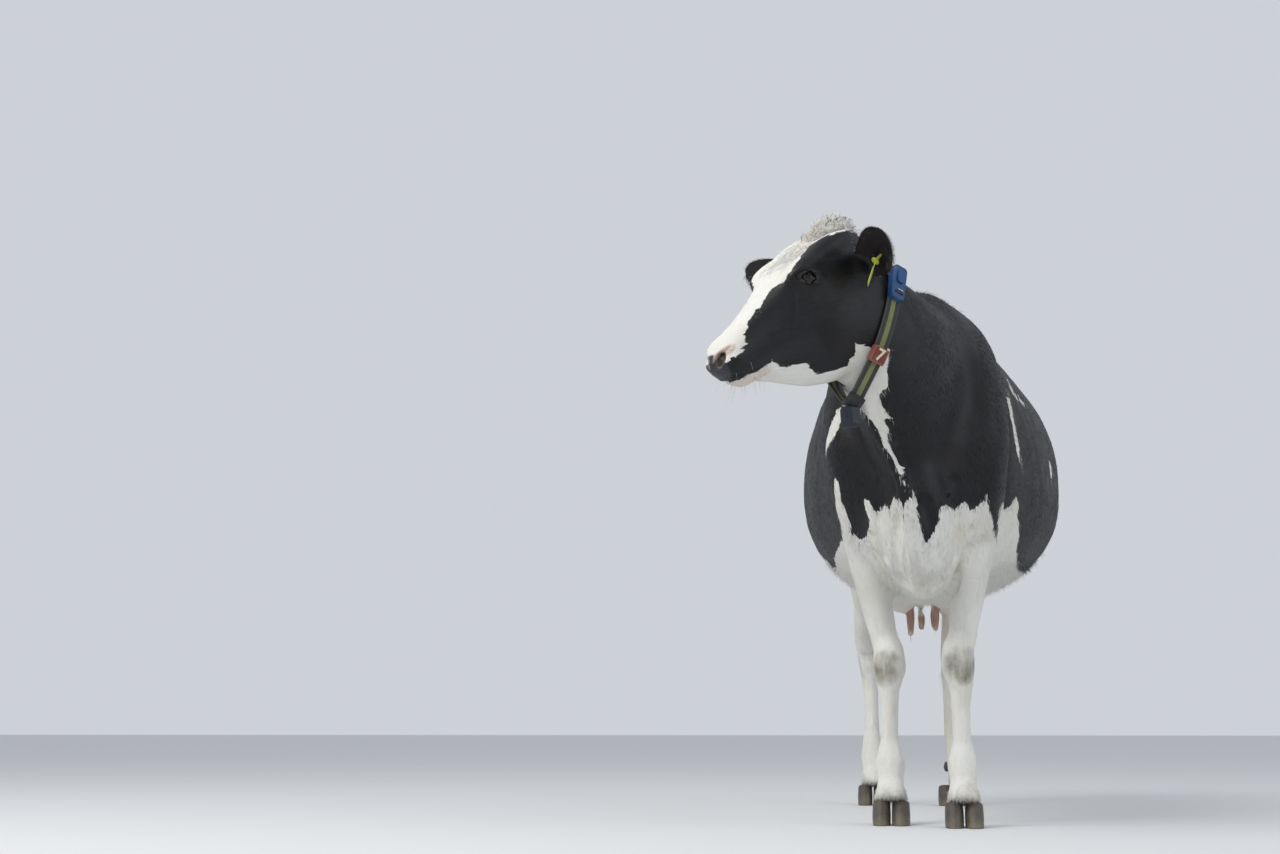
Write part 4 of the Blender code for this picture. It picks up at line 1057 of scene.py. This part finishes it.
sizes = coatSizes()
roots = rootsOn(sizes[:, 0])
ways = lieOf(roots["body"], roots["local"], roots["normal"])
ways = ways + seeded.normal(0, 0.11, ways.shape)
ways = unit(ways - roots["normal"] * np.sum(ways * roots["normal"], 1)[:, None])
spread = seeded.uniform(0.75, 1.25, roots["count"])
length, width = roots["pick"](sizes[:, 1]) * spread, roots["pick"](sizes[:, 2])
triangles = growHair("coat", roots, ways, length, width, rise=0.055, fall=0.0, levels=(), sink=0.0005, soft=0.85)
print("coat grown", roots["count"], triangles)


def inBody(vector):
    return np.array((headAt.to_3x3() @ Vector(vector)).normalized())


def combed(roots, lie, rise, jitter, aim=0.0):
    # each strand's way: so much of the coat's lie and of the rise off the hide, drawn towards an aim, a little astray
    ways = lieOf(roots["body"], roots["local"], roots["normal"]) * lie + roots["normal"] * rise + aim
    return unit(ways + seeded.normal(0, jitter, (roots["count"], 3)))


# the curly tuft on the poll
pollHair = {"density": 90000, "length": 0.032, "width": 0.0024, "curl": 0.0062}
roots = rootsOn(pollHair["density"] * smoothStep(0.15, 0.7, onPoll))
n = roots["count"]
ways = combed(roots, 1.0, 0.30, 0.30, inBody((0, -0.5, 0.1)) * 0.35)
# the strands at the tuft's back are black: partly the black hair behind the poll, partly painted shade among the
# curls
back = smoothStep(-0.015, 0.025, roots["local"][:, 1])
dark = seeded.random(n) < 0.03 + 0.8 * back
growHair("pollTuft", roots, ways, pollHair["length"] * seeded.uniform(0.5, 1.2, n), pollHair["width"],
         rise=0.15, fall=0.35, curl=pollHair["curl"] * seeded.uniform(0.3, 1.3, n), turns=1.5,
         levels=(0.2, 0.4, 0.6, 0.8),
         white=np.where(dark, -0.03, 0.03), shade=seeded.uniform(0.0, 0.9, n), soft=0.6)

# wavy hair down the forehead
brow = {"density": 26000, "length": 0.036, "width": 0.0017, "curl": 0.0022}
onBrow = smoothStep(0.060, 0.035, np.abs(headX)) * smoothStep(-0.26, -0.20, headY) * smoothStep(0.03, 0.0, headY)
roots = rootsOn(brow["density"] * onBrow * smoothStep(-0.06, -0.03, headZ) * headZone(local) * (eyeRho > 3))
n = roots["count"]
ways = combed(roots, 0.4, 0.12, 0.09, inBody((0, -1, 0)) * 0.8)
growHair("foreheadHair", roots, ways, brow["length"] * seeded.uniform(0.5, 1.2, n), brow["width"],
         rise=0.10, fall=0.26, curl=brow["curl"] * seeded.uniform(0.3, 1.3, n), turns=1.0,
         levels=(0.25, 0.5, 0.75), white=0.03,
         shade=seeded.uniform(0.35, 0.9, n), soft=0.85)

# long hair in and round the ears
earHair = {
    "rim": 120000,
    "inside": 30000,
    "length": 0.018,
    "width": 0.0006,
    "waysRim": (0.8, 0.9, 0.15),  # outwards, along the ear, ahead
    "waysInside": (0.5, 0.6, 0.55),
}
for side, label in ((1, "Left"), (-1, "Right")):
    ear, riseWay, ahead = earAxes(side)
    earRoot = Vector(ears["root"]) * Vector((side, 1, 1))
    q = inFrame(local, earRoot, [ear, riseWay, ahead])
    q[:, 1] -= np.interp(q[:, 0], ears["along"], ears["lean"])
    half = np.interp(q[:, 0], ears["along"], ears["half"])
    onThis = smoothStep(0.4, 0.8, earness) * (q[:, 0] > 0.01) * (np.abs(q[:, 1]) < 0.07)
    rim = onThis * smoothStep(0.74, 0.90, np.maximum(np.abs(q[:, 1]) / half, (q[:, 0] - 0.02) / 0.185))
    within = onThis * inEar * (1 - smoothStep(0.6, 0.85, np.abs(q[:, 1]) / half)) * (q[:, 0] < 0.15)
    for part, density, mask in (("Rim", earHair["rim"], rim), ("Inside", earHair["inside"], within)):
        roots = rootsOn(density * mask)
        n = roots["count"]
        at = inFrame(roots["local"], earRoot, [ear, riseWay, ahead])
        out, on, over = earHair["ways" + part]
        aim = np.sign(at[:, 1])[:, None] * inBody(riseWay) * out + inBody(ear) * on + inBody(ahead) * over
        ways = combed(roots, 0.0, 0.0, 0.14, aim)
        lowSide = 1 + 0.6 * (at[:, 1] < 0)
        size = earHair["length"] * (0.55 if part == "Rim" else 1.0) * lowSide
        growHair("ear" + part + label, roots, ways, size * seeded.uniform(0.5, 1.2, n), earHair["width"],
                 rise=0.1, fall=0.1, sag=0.15, curl=0.0012, turns=0.4, levels=(0.33, 0.66),
                 white=np.where(seeded.random(n) < (0.14 if part == "Rim" else 0.03), 0.03, -0.03),
                 shade=seeded.uniform(0.2, 1.5, n) if part == "Rim" else seeded.uniform(-0.2, 1.3, n))

# the switch at the end of the tail
switch = {"density": 30000, "length": 0.16, "width": 0.0030, "hangs": (0.05, 0.03, -1)}
roots = rootsOn(switch["density"] * smoothStep(0.3, 0.8, onSwitch))
n = roots["count"]
ways = combed(roots, 0.0, 0.09, 0.045, np.array(Vector(switch["hangs"]).normalized()))
reach = np.minimum(switch["length"] * seeded.uniform(0.5, 1.15, n), roots["body"][:, 2] - 0.24)
growHair("tailSwitch", roots, ways, reach, switch["width"], rise=0.05, fall=0.06, curl=0.006 * seeded.random(n),
         turns=1.2, levels=(0.15, 0.3, 0.45, 0.6, 0.75, 0.9), white=0.04, shade=seeded.uniform(0.3, 1.0, n))

# longer hair below the belly, on the brisket, behind the legs, on the crest and over the claws
feathering = rootsOn(
    26000 * smoothStep(-0.55, -0.8, hideNormals[:, 2]) * smoothStep(0.60, 0.64, bodyZ) * (bodyZ < 0.80)
    * (bodyY < 0.92) * (onUdder < 0.2) * (teats < 0.02)
    + 26000 * smoothStep(0.2, 0.6, hideNormals[:, 1]) * smoothStep(0.60, 0.5, bodyZ) * (bodyZ > 0.16)
    + 90000 * (np.abs(bodyZ - 0.082) < 0.012) * (bodyY < 1.5)
    + 12000 * smoothStep(0.7, 0.9, hideNormals[:, 2]) * (bodyY > -0.35) * (bodyZ > 1.2) * (inFace < 0.5)
)
n = feathering["count"]
ways = combed(feathering, 1.0, 0.18, 0.16)
size = np.where(feathering["body"][:, 2] < 0.5, 0.016, 0.030) * seeded.uniform(0.5, 1.2, n)
growHair("longHair", feathering, ways, size, 0.0013, rise=0.12, fall=0.05, sag=0.1, levels=(0.33, 0.66))

# lashes, and whiskers on the lips and chin
def alone(places, normals):
    # roots at chosen places, each taking its patch of the unwrap from the nearest point of the hide
    at = applied(np.array(places, float), headAt)
    tree = KDTree(len(hideCo))
    for i, spot in enumerate(hideCo):
        tree.insert(spot, i)
    tree.balance()
    firstLoop = np.zeros(len(hideCo), np.int64)
    firstLoop[triVerts.ravel()] = triLoops.ravel()
    near = [tree.find(spot)[1] for spot in at]
    normal = unit(np.array(normals, float) @ headAxes.T)
    return {"place": at, "normal": normal, "uv": hideUv[firstLoop[near]], "count": len(at),
            "body": at - bodyOrigin, "local": applied(at, toHead)}


lashes = {"count": 46, "length": 0.017, "width": 0.0006}
for side, label in ((1, "Left"), (-1, "Right")):
    middle, axes = eyeFrame(side)
    along, up, out = (np.array(v) for v in axes)
    wide, high, low = face["opening"]
    places, normals, wayList = [], [], []
    for k in range(lashes["count"]):
        t = -0.88 + 1.76 * (k + 0.5 * seeded.random()) / lashes["count"]
        a = wide * t
        b = high * math.sqrt(1 - t * t) * 1.04
        c = math.sqrt(max(face["eyeball"] ** 2 - a * a - b * b, 1e-6)) + face["lidThick"]
        places.append(np.array(middle) + along * a + up * b + out * c)
        normals.append(up)
        wayList.append(out * 0.9 + up * -0.10 + along * (t * 0.5 + seeded.normal(0, 0.1)))
    roots = alone(places, normals)
    ways = unit(np.array(wayList) @ headAxes.T)
    length = lashes["length"] * seeded.uniform(0.7, 1.1, roots["count"])
    growHair("lashes" + label, roots, ways, length, lashes["width"], rise=-0.25, fall=-0.35, levels=(0.3, 0.6),
             white=-0.03, shade=np.full(roots["count"], 0.3), sink=0.0, whiteJitter=0.0)

whiskers = {"density": 4200, "length": 0.034, "width": 0.00055}
chin = smoothStep(-0.150, -0.160, headZ) * smoothStep(-0.425, -0.45, headY) * smoothStep(0.95, 1.0, bodyZ)
lipSide = smoothStep(0.05, 0.02, np.abs(headZ + 0.125)) * smoothStep(-0.46, -0.49, headY) * (noseness < 0.2) * 0.12
roots = rootsOn(whiskers["density"] * np.maximum(chin, lipSide) * smoothStep(0.9, 1.0, bodyZ))
n = roots["count"]
ways = combed(roots, 0.0, 0.8, 0.15, inBody((0, -0.55, -0.35)) * 0.6)
growHair("whiskers", roots, ways, whiskers["length"] * seeded.uniform(0.5, 1.3, n), whiskers["width"],
         rise=0.0, fall=0.0, sag=0.25, levels=(0.33, 0.66), white=0.03, shade=seeded.uniform(0.3, 1.0, n), thick=0.9)
print("long hair grown")

# the eyes
eyeLook = {
    "iris": 0.0182,
    "pupil": (0.0110, 0.0052),  # half-width and half-height
    "irisColour": (0.0050, 0.0030, 0.0024),
    "fibre": (0.013, 0.007, 0.004),
    "limbus": (0.003, 0.002, 0.002),
    "pupilColour": (0.002, 0.002, 0.003),
    "white": (0.11, 0.09, 0.085),
    "vein": (0.13, 0.06, 0.05),
}


def eyeFinish():
    made = Finish("wetEye", Roughness=0.05, IOR=1.38, Coat_Weight=0.3, Coat_Roughness=0.02)
    place = made.field("eyePlace", True)
    a, b = made.part(place, 0), made.part(place, 1)
    r = (a * a + b * b).math("SQRT")
    wide, high = eyeLook["pupil"]
    pupil = ((a / wide) * (a / wide) + (b / high) * (b / high)).step(1.12, 0.86)
    fibres = made.noise(made.scaled(place, (1.0, 1.0, 0.2)), 900.0, 3.0)
    iris = made.mix(eyeLook["irisColour"], eyeLook["fibre"], fibres.step(0.35, 0.75))
    iris = made.mix(iris, eyeLook["limbus"], r.step(eyeLook["iris"] * 0.8, eyeLook["iris"]))
    veins = made.noise(place, 420.0, 4.0, 0.65)
    white = made.mix(eyeLook["white"], eyeLook["vein"], veins.step(0.56, 0.66))
    colour = made.mix(iris, white, r.step(eyeLook["iris"] - 0.0004, eyeLook["iris"] + 0.0010))
    made.give(Base_Color=made.mix(colour, eyeLook["pupilColour"], pupil))
    return made.material


def makeEye(side, node, finish):
    bm = bmesh.new()
    bmesh.ops.create_uvsphere(bm, u_segments=40, v_segments=28, radius=face["eyeball"] - 0.0004)
    for vert in bm.verts:
        r = math.hypot(vert.co.x, vert.co.y)
        if vert.co.z > 0:
            vert.co.z += 0.0008 * float(smoothStep(0.0100, 0.003, r))
    places = np.array([v.co[:] for v in bm.verts])
    middle, axes = eyeFrame(side)
    matrix = Matrix.Identity(4)
    for k, axis in enumerate(axes):
        matrix.col[k][:3] = axis
    matrix.translation = middle
    bmesh.ops.transform(bm, matrix=headAt @ matrix, verts=bm.verts)
    bmesh.ops.recalc_face_normals(bm, faces=bm.faces[:])
    piece = meshFrom(bm, "eyeball" + node[3:].title().replace("_", ""))
    giveField(piece.data, "eyePlace", places)
    piece.data.materials.append(finish)
    shadeSmooth(piece)
    settle(piece, "eye", node)


wetEye = eyeFinish()
makeEye(1, "eye_left", wetEye)
makeEye(-1, "eye_right", wetEye)

# claws and dewclaws
horn = {
    "voxel": 0.0030,
    "dewVoxel": 0.0018,
    "ring": 0.0052,
    "depth": 0.00035,
    "dark": (0.038, 0.032, 0.027),
    "pale": (0.135, 0.112, 0.085),
    "worn": (0.19, 0.16, 0.105),
}


def hornFinish():
    made = Finish("hoofHorn", IOR=1.5)
    place = made.place()
    height = made.part(place, 2) + made.part(place, 1) * 0.24
    rings = (height * 1150.0 + made.noise(place, 30.0, 2.0) * 7.0).math("SINE") * 0.5 + 0.5
    fibres = made.noise(made.scaled(place, (1.0, 1.0, 0.12)), 620.0, 3.0)
    broad = made.noise(place, 22.0, 4.0, 0.6)
    colour = made.mix(horn["dark"], horn["pale"], (fibres * 0.5 + rings * 0.22 + broad * 0.5 - 0.2).clamp())
    wear = (broad + made.part(place, 2).step(0.05, 0.0) * 0.4 - 0.55).clamp() * 1.6
    colour = made.mix(colour, horn["worn"], wear)
    made.give(Base_Color=colour, Roughness=0.42 + broad * 0.25)
    made.bump(rings * 0.7 + fibres * 0.6 + broad * 0.4, 0.0009, 0.7)
    return made.material


def mergedCopy(node, name):
    bm = bmesh.new()
    bm.from_mesh(nodes[node].data)
    bmesh.ops.remove_doubles(bm, verts=bm.verts, dist=skinSizes["weld"])
    return meshFrom(bm, name)


def smoothHorn(node, name, voxel, rounds, flat):
    piece = mergedCopy(node, name)
    remesh = piece.modifiers.new("even", "REMESH")
    remesh.mode, remesh.voxel_size = "VOXEL", voxel
    smooth = piece.modifiers.new("soft", "SMOOTH")
    smooth.factor, smooth.iterations = 0.5, rounds
    bakeModifiers(piece)
    co = coordsOf(piece.data)
    height = co[:, 2] + 0.24 * co[:, 1]
    wave = np.sin(height / horn["ring"] * 6.283) + 0.5 * np.sin(height / horn["ring"] * 4.1 + 1.0)
    co = co + normalsOf(piece.data) * (wave * horn["depth"] * smoothStep(0.004, 0.010, co[:, 2]))[:, None]
    if flat:
        co[:, 2] = np.where(co[:, 2] < 0.0022, 0.0, co[:, 2])
    setCoords(piece.data, co)
    piece.data.materials.append(hoofHorn)
    shadeSmooth(piece)
    settle(piece, "horn", node)


hoofHorn = hornFinish()
for limb in ("fore", "hind"):
    for side in ("left", "right"):
        for half in ("outer", "inner"):
            ending = "_".join((limb, side, half))
            label = limb.title() + side.title() + half.title()
            smoothHorn("claw_" + ending, "hoof" + label, horn["voxel"], 5, True)
            smoothHorn("dewclaw_" + ending, "dewHoof" + label, horn["dewVoxel"], 4, False)
print("eyes and claws made")

# the collar: a striped webbing band with its fittings
band = {
    "middle": (-0.130, -0.440, 1.250),
    "forward": (-0.680, -0.600, 0.300),
    "radius": 0.13,
    "stripe": 0.0072,
    "weave": 0.0024,
    "dark": ((0.014, 0.015, 0.017), (0.062, 0.064, 0.066)),
    "olive": ((0.11, 0.12, 0.035), (0.30, 0.315, 0.13)),
    "edge": (0.10, 0.105, 0.09),
    "grime": (0.085, 0.075, 0.05),
}
bandMiddle = bodyAt + Vector(band["middle"])
bandForward = Vector(band["forward"]).normalized()
bandUp = (Vector((0, 0, 1)) - bandForward.z * bandForward).normalized()
bandLeft = bandForward.cross(bandUp)
bandLeft = bandLeft if bandLeft.x > 0 else -bandLeft


def webbingFinish():
    made = Finish("stripedWebbing", IOR=1.5)
    web = made.field("webPlace", True)
    along, across = made.part(web, 0), made.part(web, 1)
    step = 2 * math.pi / band["weave"]
    weave = (along * step).math("SINE") * (across * step).math("SINE")
    twill = ((along + across * 2.0) * (step * 0.5)).math("SINE")
    fray = made.noise(made.scaled(web, (300.0, 900.0, 1.0)), 1.0, 3.0)
    middle = across.math("ABSOLUTE")
    stripe = (middle + (fray - 0.5) * 0.0012).step(band["stripe"] + 0.0004, band["stripe"] - 0.0004)
    edge = middle.step(0.0172, 0.0186)
    dark = made.mix(*band["dark"], (weave * 0.3 + fray * 0.8).clamp())
    olive = made.mix(*band["olive"], (twill * 0.25 + fray * 0.9).clamp())
    colour = made.mix(dark, olive, stripe)
    colour = made.mix(colour, band["edge"], edge * 0.6)
    grime = made.noise(made.place(), 38.0, 4.0, 0.6)
    colour = made.mix(colour, band["grime"], grime.step(0.52, 0.75) * 0.5)
    made.give(Base_Color=colour, Roughness=0.78 - stripe * 0.08)
    made.bump(weave * 0.5 + twill * 0.35 + fray * 0.4 - edge * 0.4, 0.0006, 0.8)
    return made.material


strap = mergedCopy("collar_strap", "collarBand")
bm = opened(strap.data)
bmesh.ops.join_triangles(bm, faces=bm.faces[:], angle_face_threshold=0.35, angle_shape_threshold=1.5)
crease = bm.edges.layers.float.new("crease_edge")
for edge in bm.edges:
    edge[crease] = 1.0 if edge.calc_face_angle(0) > math.radians(50) else 0.0
closed(bm, strap.data)
rounder = strap.modifiers.new("rounder", "SUBSURF")
rounder.levels = rounder.render_levels = 2
softEdge = strap.modifiers.new("softEdge", "BEVEL")
softEdge.width, softEdge.segments, softEdge.limit_method = 0.0011, 2, "ANGLE"
softEdge.angle_limit = math.radians(50)
bakeModifiers(strap)
off = coordsOf(strap.data) - np.array(bandMiddle)
around = np.arctan2(off @ np.array(bandLeft), off @ np.array(bandUp)) * band["radius"]
across = off @ np.array(bandForward)
giveField(strap.data, "webPlace", np.stack([around, across, 0 * across], 1))
strap.data.materials.append(webbingFinish())
shadeSmooth(strap)
settle(strap, "strap_webbing", "collar_strap")


def plasticFinish(name, deep, light, dust=(0.16, 0.145, 0.11), rough=0.42, dusty=0.5):
    made = Finish(name, IOR=1.47)
    place = made.place()
    broad, fine = made.noise(place, 34.0, 4.0, 0.6), made.noise(place, 420.0, 3.0)
    scratch = made.noise(made.scaled(place, (1.0, 1.0, 9.0)), 160.0, 3.0, 0.6)
    colour = made.mix(deep, light, (broad * 0.7 + fine * 0.4 - 0.1).clamp())
    colour = made.mix(colour, dust, (broad.step(0.50, 0.78) * dusty + scratch.step(0.68, 0.74) * 0.25).clamp())
    made.give(Base_Color=colour, Roughness=rough + broad * 0.22 + scratch * 0.08)
    made.bump(fine * 0.5 + scratch * 0.5 + broad * 0.3, 0.0004, 0.5)
    return made.material


def blockFrame(node, up=None):
    # middle, size and turn of a fitting: x across the band, y up along it, z out of it
    mesh = nodes[node].data
    co = coordsOf(mesh)
    middle = Vector((co.min(0) + co.max(0)) / 2)
    if up is None:
        away = middle - bandMiddle
        best = {}
        for polygon in mesh.polygons:
            if abs(polygon.normal.dot(bandForward)) < 0.2 and polygon.normal.dot(away) > 0:
                key = tuple(round(c, 1) for c in polygon.normal)
                best.setdefault(key, [0, polygon.normal.copy()])[0] += polygon.area
        out = max(best.values(), key=lambda row: row[0])[1]
        out = (out - out.dot(bandForward) * bandForward).normalized()
        axes = (-bandForward, bandForward.cross(out), out)
    else:
        across = Vector(up).cross(bandForward).normalized()
        axes = (across, Vector(up), across.cross(Vector(up)))
    q = inFrame(co, middle, axes)
    low, high = q.min(0), q.max(0)
    turn = Matrix.Identity(4)
    for k, axis in enumerate(axes):
        turn.col[k][:3] = axis
    turn.translation = middle + sum((axes[k] * ((low[k] + high[k]) / 2) for k in range(3)), Vector())
    return turn, Vector(high - low)


def roundedBlock(size, corner, edge, middle=(0, 0, 0), slope=0.0):
    # a block whose upright corners and face edges are rounded; slope cuts its lower end back
    bm = bmesh.new()
    bmesh.ops.create_cube(bm, size=1, matrix=Matrix.Translation(middle) @ Matrix.Diagonal((*size, 1)))
    for vert in bm.verts:
        if slope and vert.co.y < middle[1] and vert.co.z > middle[2]:
            vert.co.z -= slope
    upright = [e for e in bm.edges if abs((e.verts[0].co - e.verts[1].co).normalized().z) > 0.9]
    bmesh.ops.bevel(bm, geom=upright, offset=corner, segments=5, affect="EDGES", profile=0.5, material=-1)
    rims = [e for e in bm.edges if e.is_manifold and e.calc_face_angle(0) > math.radians(50)]
    bmesh.ops.bevel(bm, geom=rims, offset=edge, segments=3, affect="EDGES", profile=0.5, material=-1)
    return bm


def placed(bm, name, turn, material, slot, *cadNames):
    bmesh.ops.transform(bm, matrix=turn, verts=bm.verts)
    bmesh.ops.recalc_face_normals(bm, faces=bm.faces[:])
    piece = meshFrom(bm, name)
    piece.data.materials.append(material)
    shadeSmooth(piece)
    mod = piece.modifiers.new("crisp", "WEIGHTED_NORMAL")
    mod.keep_sharp = True
    bakeModifiers(piece)
    settle(piece, slot, *cadNames)


blue = plasticFinish("blueHousing", (0.005, 0.042, 0.150), (0.012, 0.078, 0.235))
darkPlastic = plasticFinish("darkPlastic", (0.009, 0.010, 0.013), (0.024, 0.026, 0.031), dusty=0.22)
navy = plasticFinish("navyWeight", (0.005, 0.009, 0.018), (0.014, 0.022, 0.036), rough=0.36, dusty=0.2)
redBrown = plasticFinish("redBrownPlate", (0.115, 0.020, 0.014), (0.22, 0.045, 0.030))
redRim = plasticFinish("redBrownRim", (0.20, 0.055, 0.040), (0.36, 0.12, 0.085))
cream = plasticFinish("creamDigit", (0.62, 0.54, 0.36), (0.80, 0.72, 0.52), rough=0.5, dusty=0.2)
paleLine = plasticFinish("paleInlay", (0.35, 0.40, 0.44), (0.62, 0.66, 0.70), dusty=0.2)
brushed = plasticFinish("paleWire", (0.42, 0.42, 0.40), (0.66, 0.66, 0.62), rough=0.28, dusty=0.3)

turn, size = blockFrame("collar_transponder")
placed(roundedBlock(size, 0.0105, 0.0042, slope=0.0085), "housing", turn, blue, "transponder_plastic",
       "collar_transponder")
top = size.z / 2
# painted shade: a dark plastic block stands for the shade in the housing's recessed slot
slotShade = roundedBlock((size.x * 0.62, 0.0050, 0.0030), 0.0020, 0.0008, middle=(0, -size.y * 0.335, top - 0.0052))
placed(slotShade, "housingSlotShade", turn, darkPlastic, "keeper_plastic")
line = roundedBlock((size.x * 0.40, 0.0022, 0.0022), 0.0009, 0.0004, middle=(0.002, -size.y * 0.255, top - 0.0034))
placed(line, "housingInlay", turn, paleLine, "transponder_plastic")
ridge = roundedBlock((size.x * 0.50, size.y * 0.42, 0.0020), 0.0085, 0.0008, middle=(0, size.y * 0.16, top + 0.0001))
placed(ridge, "housingPanel", turn, blue, "transponder_plastic")

turn, size = blockFrame("collar_number")
placed(roundedBlock(size, 0.0052, 0.0016), "numberPlate", turn, redRim, "number_plastic", "collar_number")
top = size.z / 2
field = roundedBlock((size.x - 0.0085, size.y - 0.0085, 0.0016), 0.0034, 0.0005, middle=(0, 0, top + 0.0002))
placed(field, "numberField", turn, redBrown, "number_plastic")
numeral = {"text": "7", "size": 0.044}
digit = bpy.data.curves.new("digit", "FONT")
digit.body, digit.size, digit.align_x, digit.align_y = numeral["text"], numeral["size"], "CENTER", "CENTER"
digit.extrude, digit.bevel_depth, digit.bevel_resolution, digit.offset = 0.0005, 0.0002, 1, 0.0007
holder = addObject("digitCurve", digit)
shape = bpy.data.meshes.new_from_object(holder.evaluated_get(bpy.context.evaluated_depsgraph_get()))
bpy.data.objects.remove(holder)
bm = opened(shape)
bmesh.ops.remove_doubles(bm, verts=bm.verts, dist=0.00001)
bmesh.ops.triangulate(bm, faces=[f for f in bm.faces if len(f.verts) > 4])
bmesh.ops.translate(bm, verts=bm.verts, vec=(0, 0, top + 0.0013))
placed(bm, "numberDigit", turn, cream, "number_plastic")

turn, size = blockFrame("collar_keeper")
placed(roundedBlock(size, 0.0045, 0.0018), "keeperBlock", turn, darkPlastic, "keeper_plastic", "collar_keeper")
for k in (-1, 0, 1):
    rib = roundedBlock((size.x * 0.72, 0.0034, 0.0022), 0.0014, 0.0006, middle=(0, k * size.y * 0.26, size.z / 2))
    placed(rib, "keeperRib" + str(k + 2), turn, darkPlastic, "keeper_plastic")

turn, size = blockFrame("collar_weight", up=(-0.05, 0.0, 0.99875))
placed(roundedBlock(size, 0.0105, 0.0062), "hangingWeight", turn, navy, "weight_plastic", "collar_weight")
# painted shade: thin dark plastic blocks on both faces of the weight stand for the shade in its slot
for facing, k in ((1, 1), (-1, 2)):
    slot = roundedBlock((0.0036, size.y * 0.42, 0.0016), 0.0015, 0.0004, middle=(0.006, 0.002, facing * size.z / 2))
    placed(slot, "weightSlot" + str(k), turn, darkPlastic, "keeper_plastic")
bm = bmesh.new()
bmesh.ops.create_cone(bm, cap_ends=True, segments=14, radius1=0.0019, radius2=0.0019, depth=0.046,
                      matrix=Matrix.Translation((0, size.y / 2 + 0.0004, 0)) @ Matrix.Rotation(math.pi / 2, 4, "X"))
bmesh.ops.rotate(bm, verts=bm.verts, cent=(0, size.y / 2, 0), matrix=Matrix.Rotation(math.pi / 2, 3, "X"))
placed(bm, "weightBar", turn, brushed, "weight_plastic")
print("collar made")

# the ear tag keeps its solid and takes a moulded finish
tagFinish = plasticFinish("tagPlastic", (0.46, 0.50, 0.045), (0.66, 0.70, 0.12), dust=(0.35, 0.32, 0.14), rough=0.45)
tag = mergedCopy("ear_tag", "earTag")
bm = opened(tag.data)
bmesh.ops.dissolve_limit(bm, angle_limit=math.radians(1), verts=bm.verts[:], edges=bm.edges[:])
closed(bm, tag.data)
tag.data.materials.append(tagFinish)
settle(tag, "tag_plastic", "ear_tag")

# the floor, the light and the camera
studio = {
    "floor": 60.0,
    "paint": ((0.66, 0.665, 0.67), (0.69, 0.695, 0.70)),
    "sky": (0.90, 0.94, 1.0),
    "skyStrength": 0.68,
    "key": 250.0,
    "keyAt": (-3.2, -3.6, 5.2),
    "fill": 50.0,
    "fillAt": (4.5, -2.0, 3.0),
    "camera": (0.027, -4.97, 0.26),
    "aside": 290.0,  # how far the view turns aside and up, over the lens's distance
    "rise": 301.0,
    "distance": 1778.0,
    "width": 1280.0,
    "sensor": 36.0,
}
bm = bmesh.new()
bmesh.ops.create_grid(bm, x_segments=2, y_segments=2, size=studio["floor"])
floor = meshFrom(bm, "floor")
paint = Finish("paleFloor", Roughness=0.85)
cloud = paint.noise(paint.place(), 1.3, 3.0)
paint.give(Base_Color=paint.mix(*studio["paint"], cloud))
floor.data.materials.append(paint.material)

world = bpy.data.worlds.new("studio")
scene.world = world
world.use_nodes = True
backdrop = world.node_tree.nodes["Background"]
backdrop.inputs["Color"].default_value = (*studio["sky"], 1.0)
backdrop.inputs["Strength"].default_value = studio["skyStrength"]


def softLight(name, at, aim, power, size, colour=(1, 1, 1)):
    lamp = bpy.data.lights.new(name, "AREA")
    lamp.energy, lamp.size, lamp.color = power, size, colour
    holder = addObject(name, lamp)
    holder.location = at
    holder.rotation_euler = (Vector(aim) - Vector(at)).to_track_quat("-Z", "Y").to_euler()


softLight("keyLight", studio["keyAt"], (0, -0.3, 0.9), studio["key"], 3.6, (1.0, 0.985, 0.96))
softLight("fillLight", studio["fillAt"], (0, -0.2, 1.0), studio["fill"], 4.0, (0.93, 0.97, 1.0))

lens = bpy.data.cameras.new("camera")
lens.sensor_width = studio["sensor"]
lens.lens = studio["distance"] / studio["width"] * studio["sensor"]
lens.clip_end = 200.0
camera = addObject("camera", lens)
camera.location = bodyAt + Vector(studio["camera"])
yaw, pitch = math.atan(studio["aside"] / studio["distance"]), math.atan(studio["rise"] / studio["distance"])
ahead = Vector((-math.sin(yaw) * math.cos(pitch), math.cos(yaw) * math.cos(pitch), math.sin(pitch)))
camera.rotation_euler = ahead.to_track_quat("-Z", "Y").to_euler()
scene.camera = camera
scene.view_settings.view_transform = "Standard"

print("scene ready")
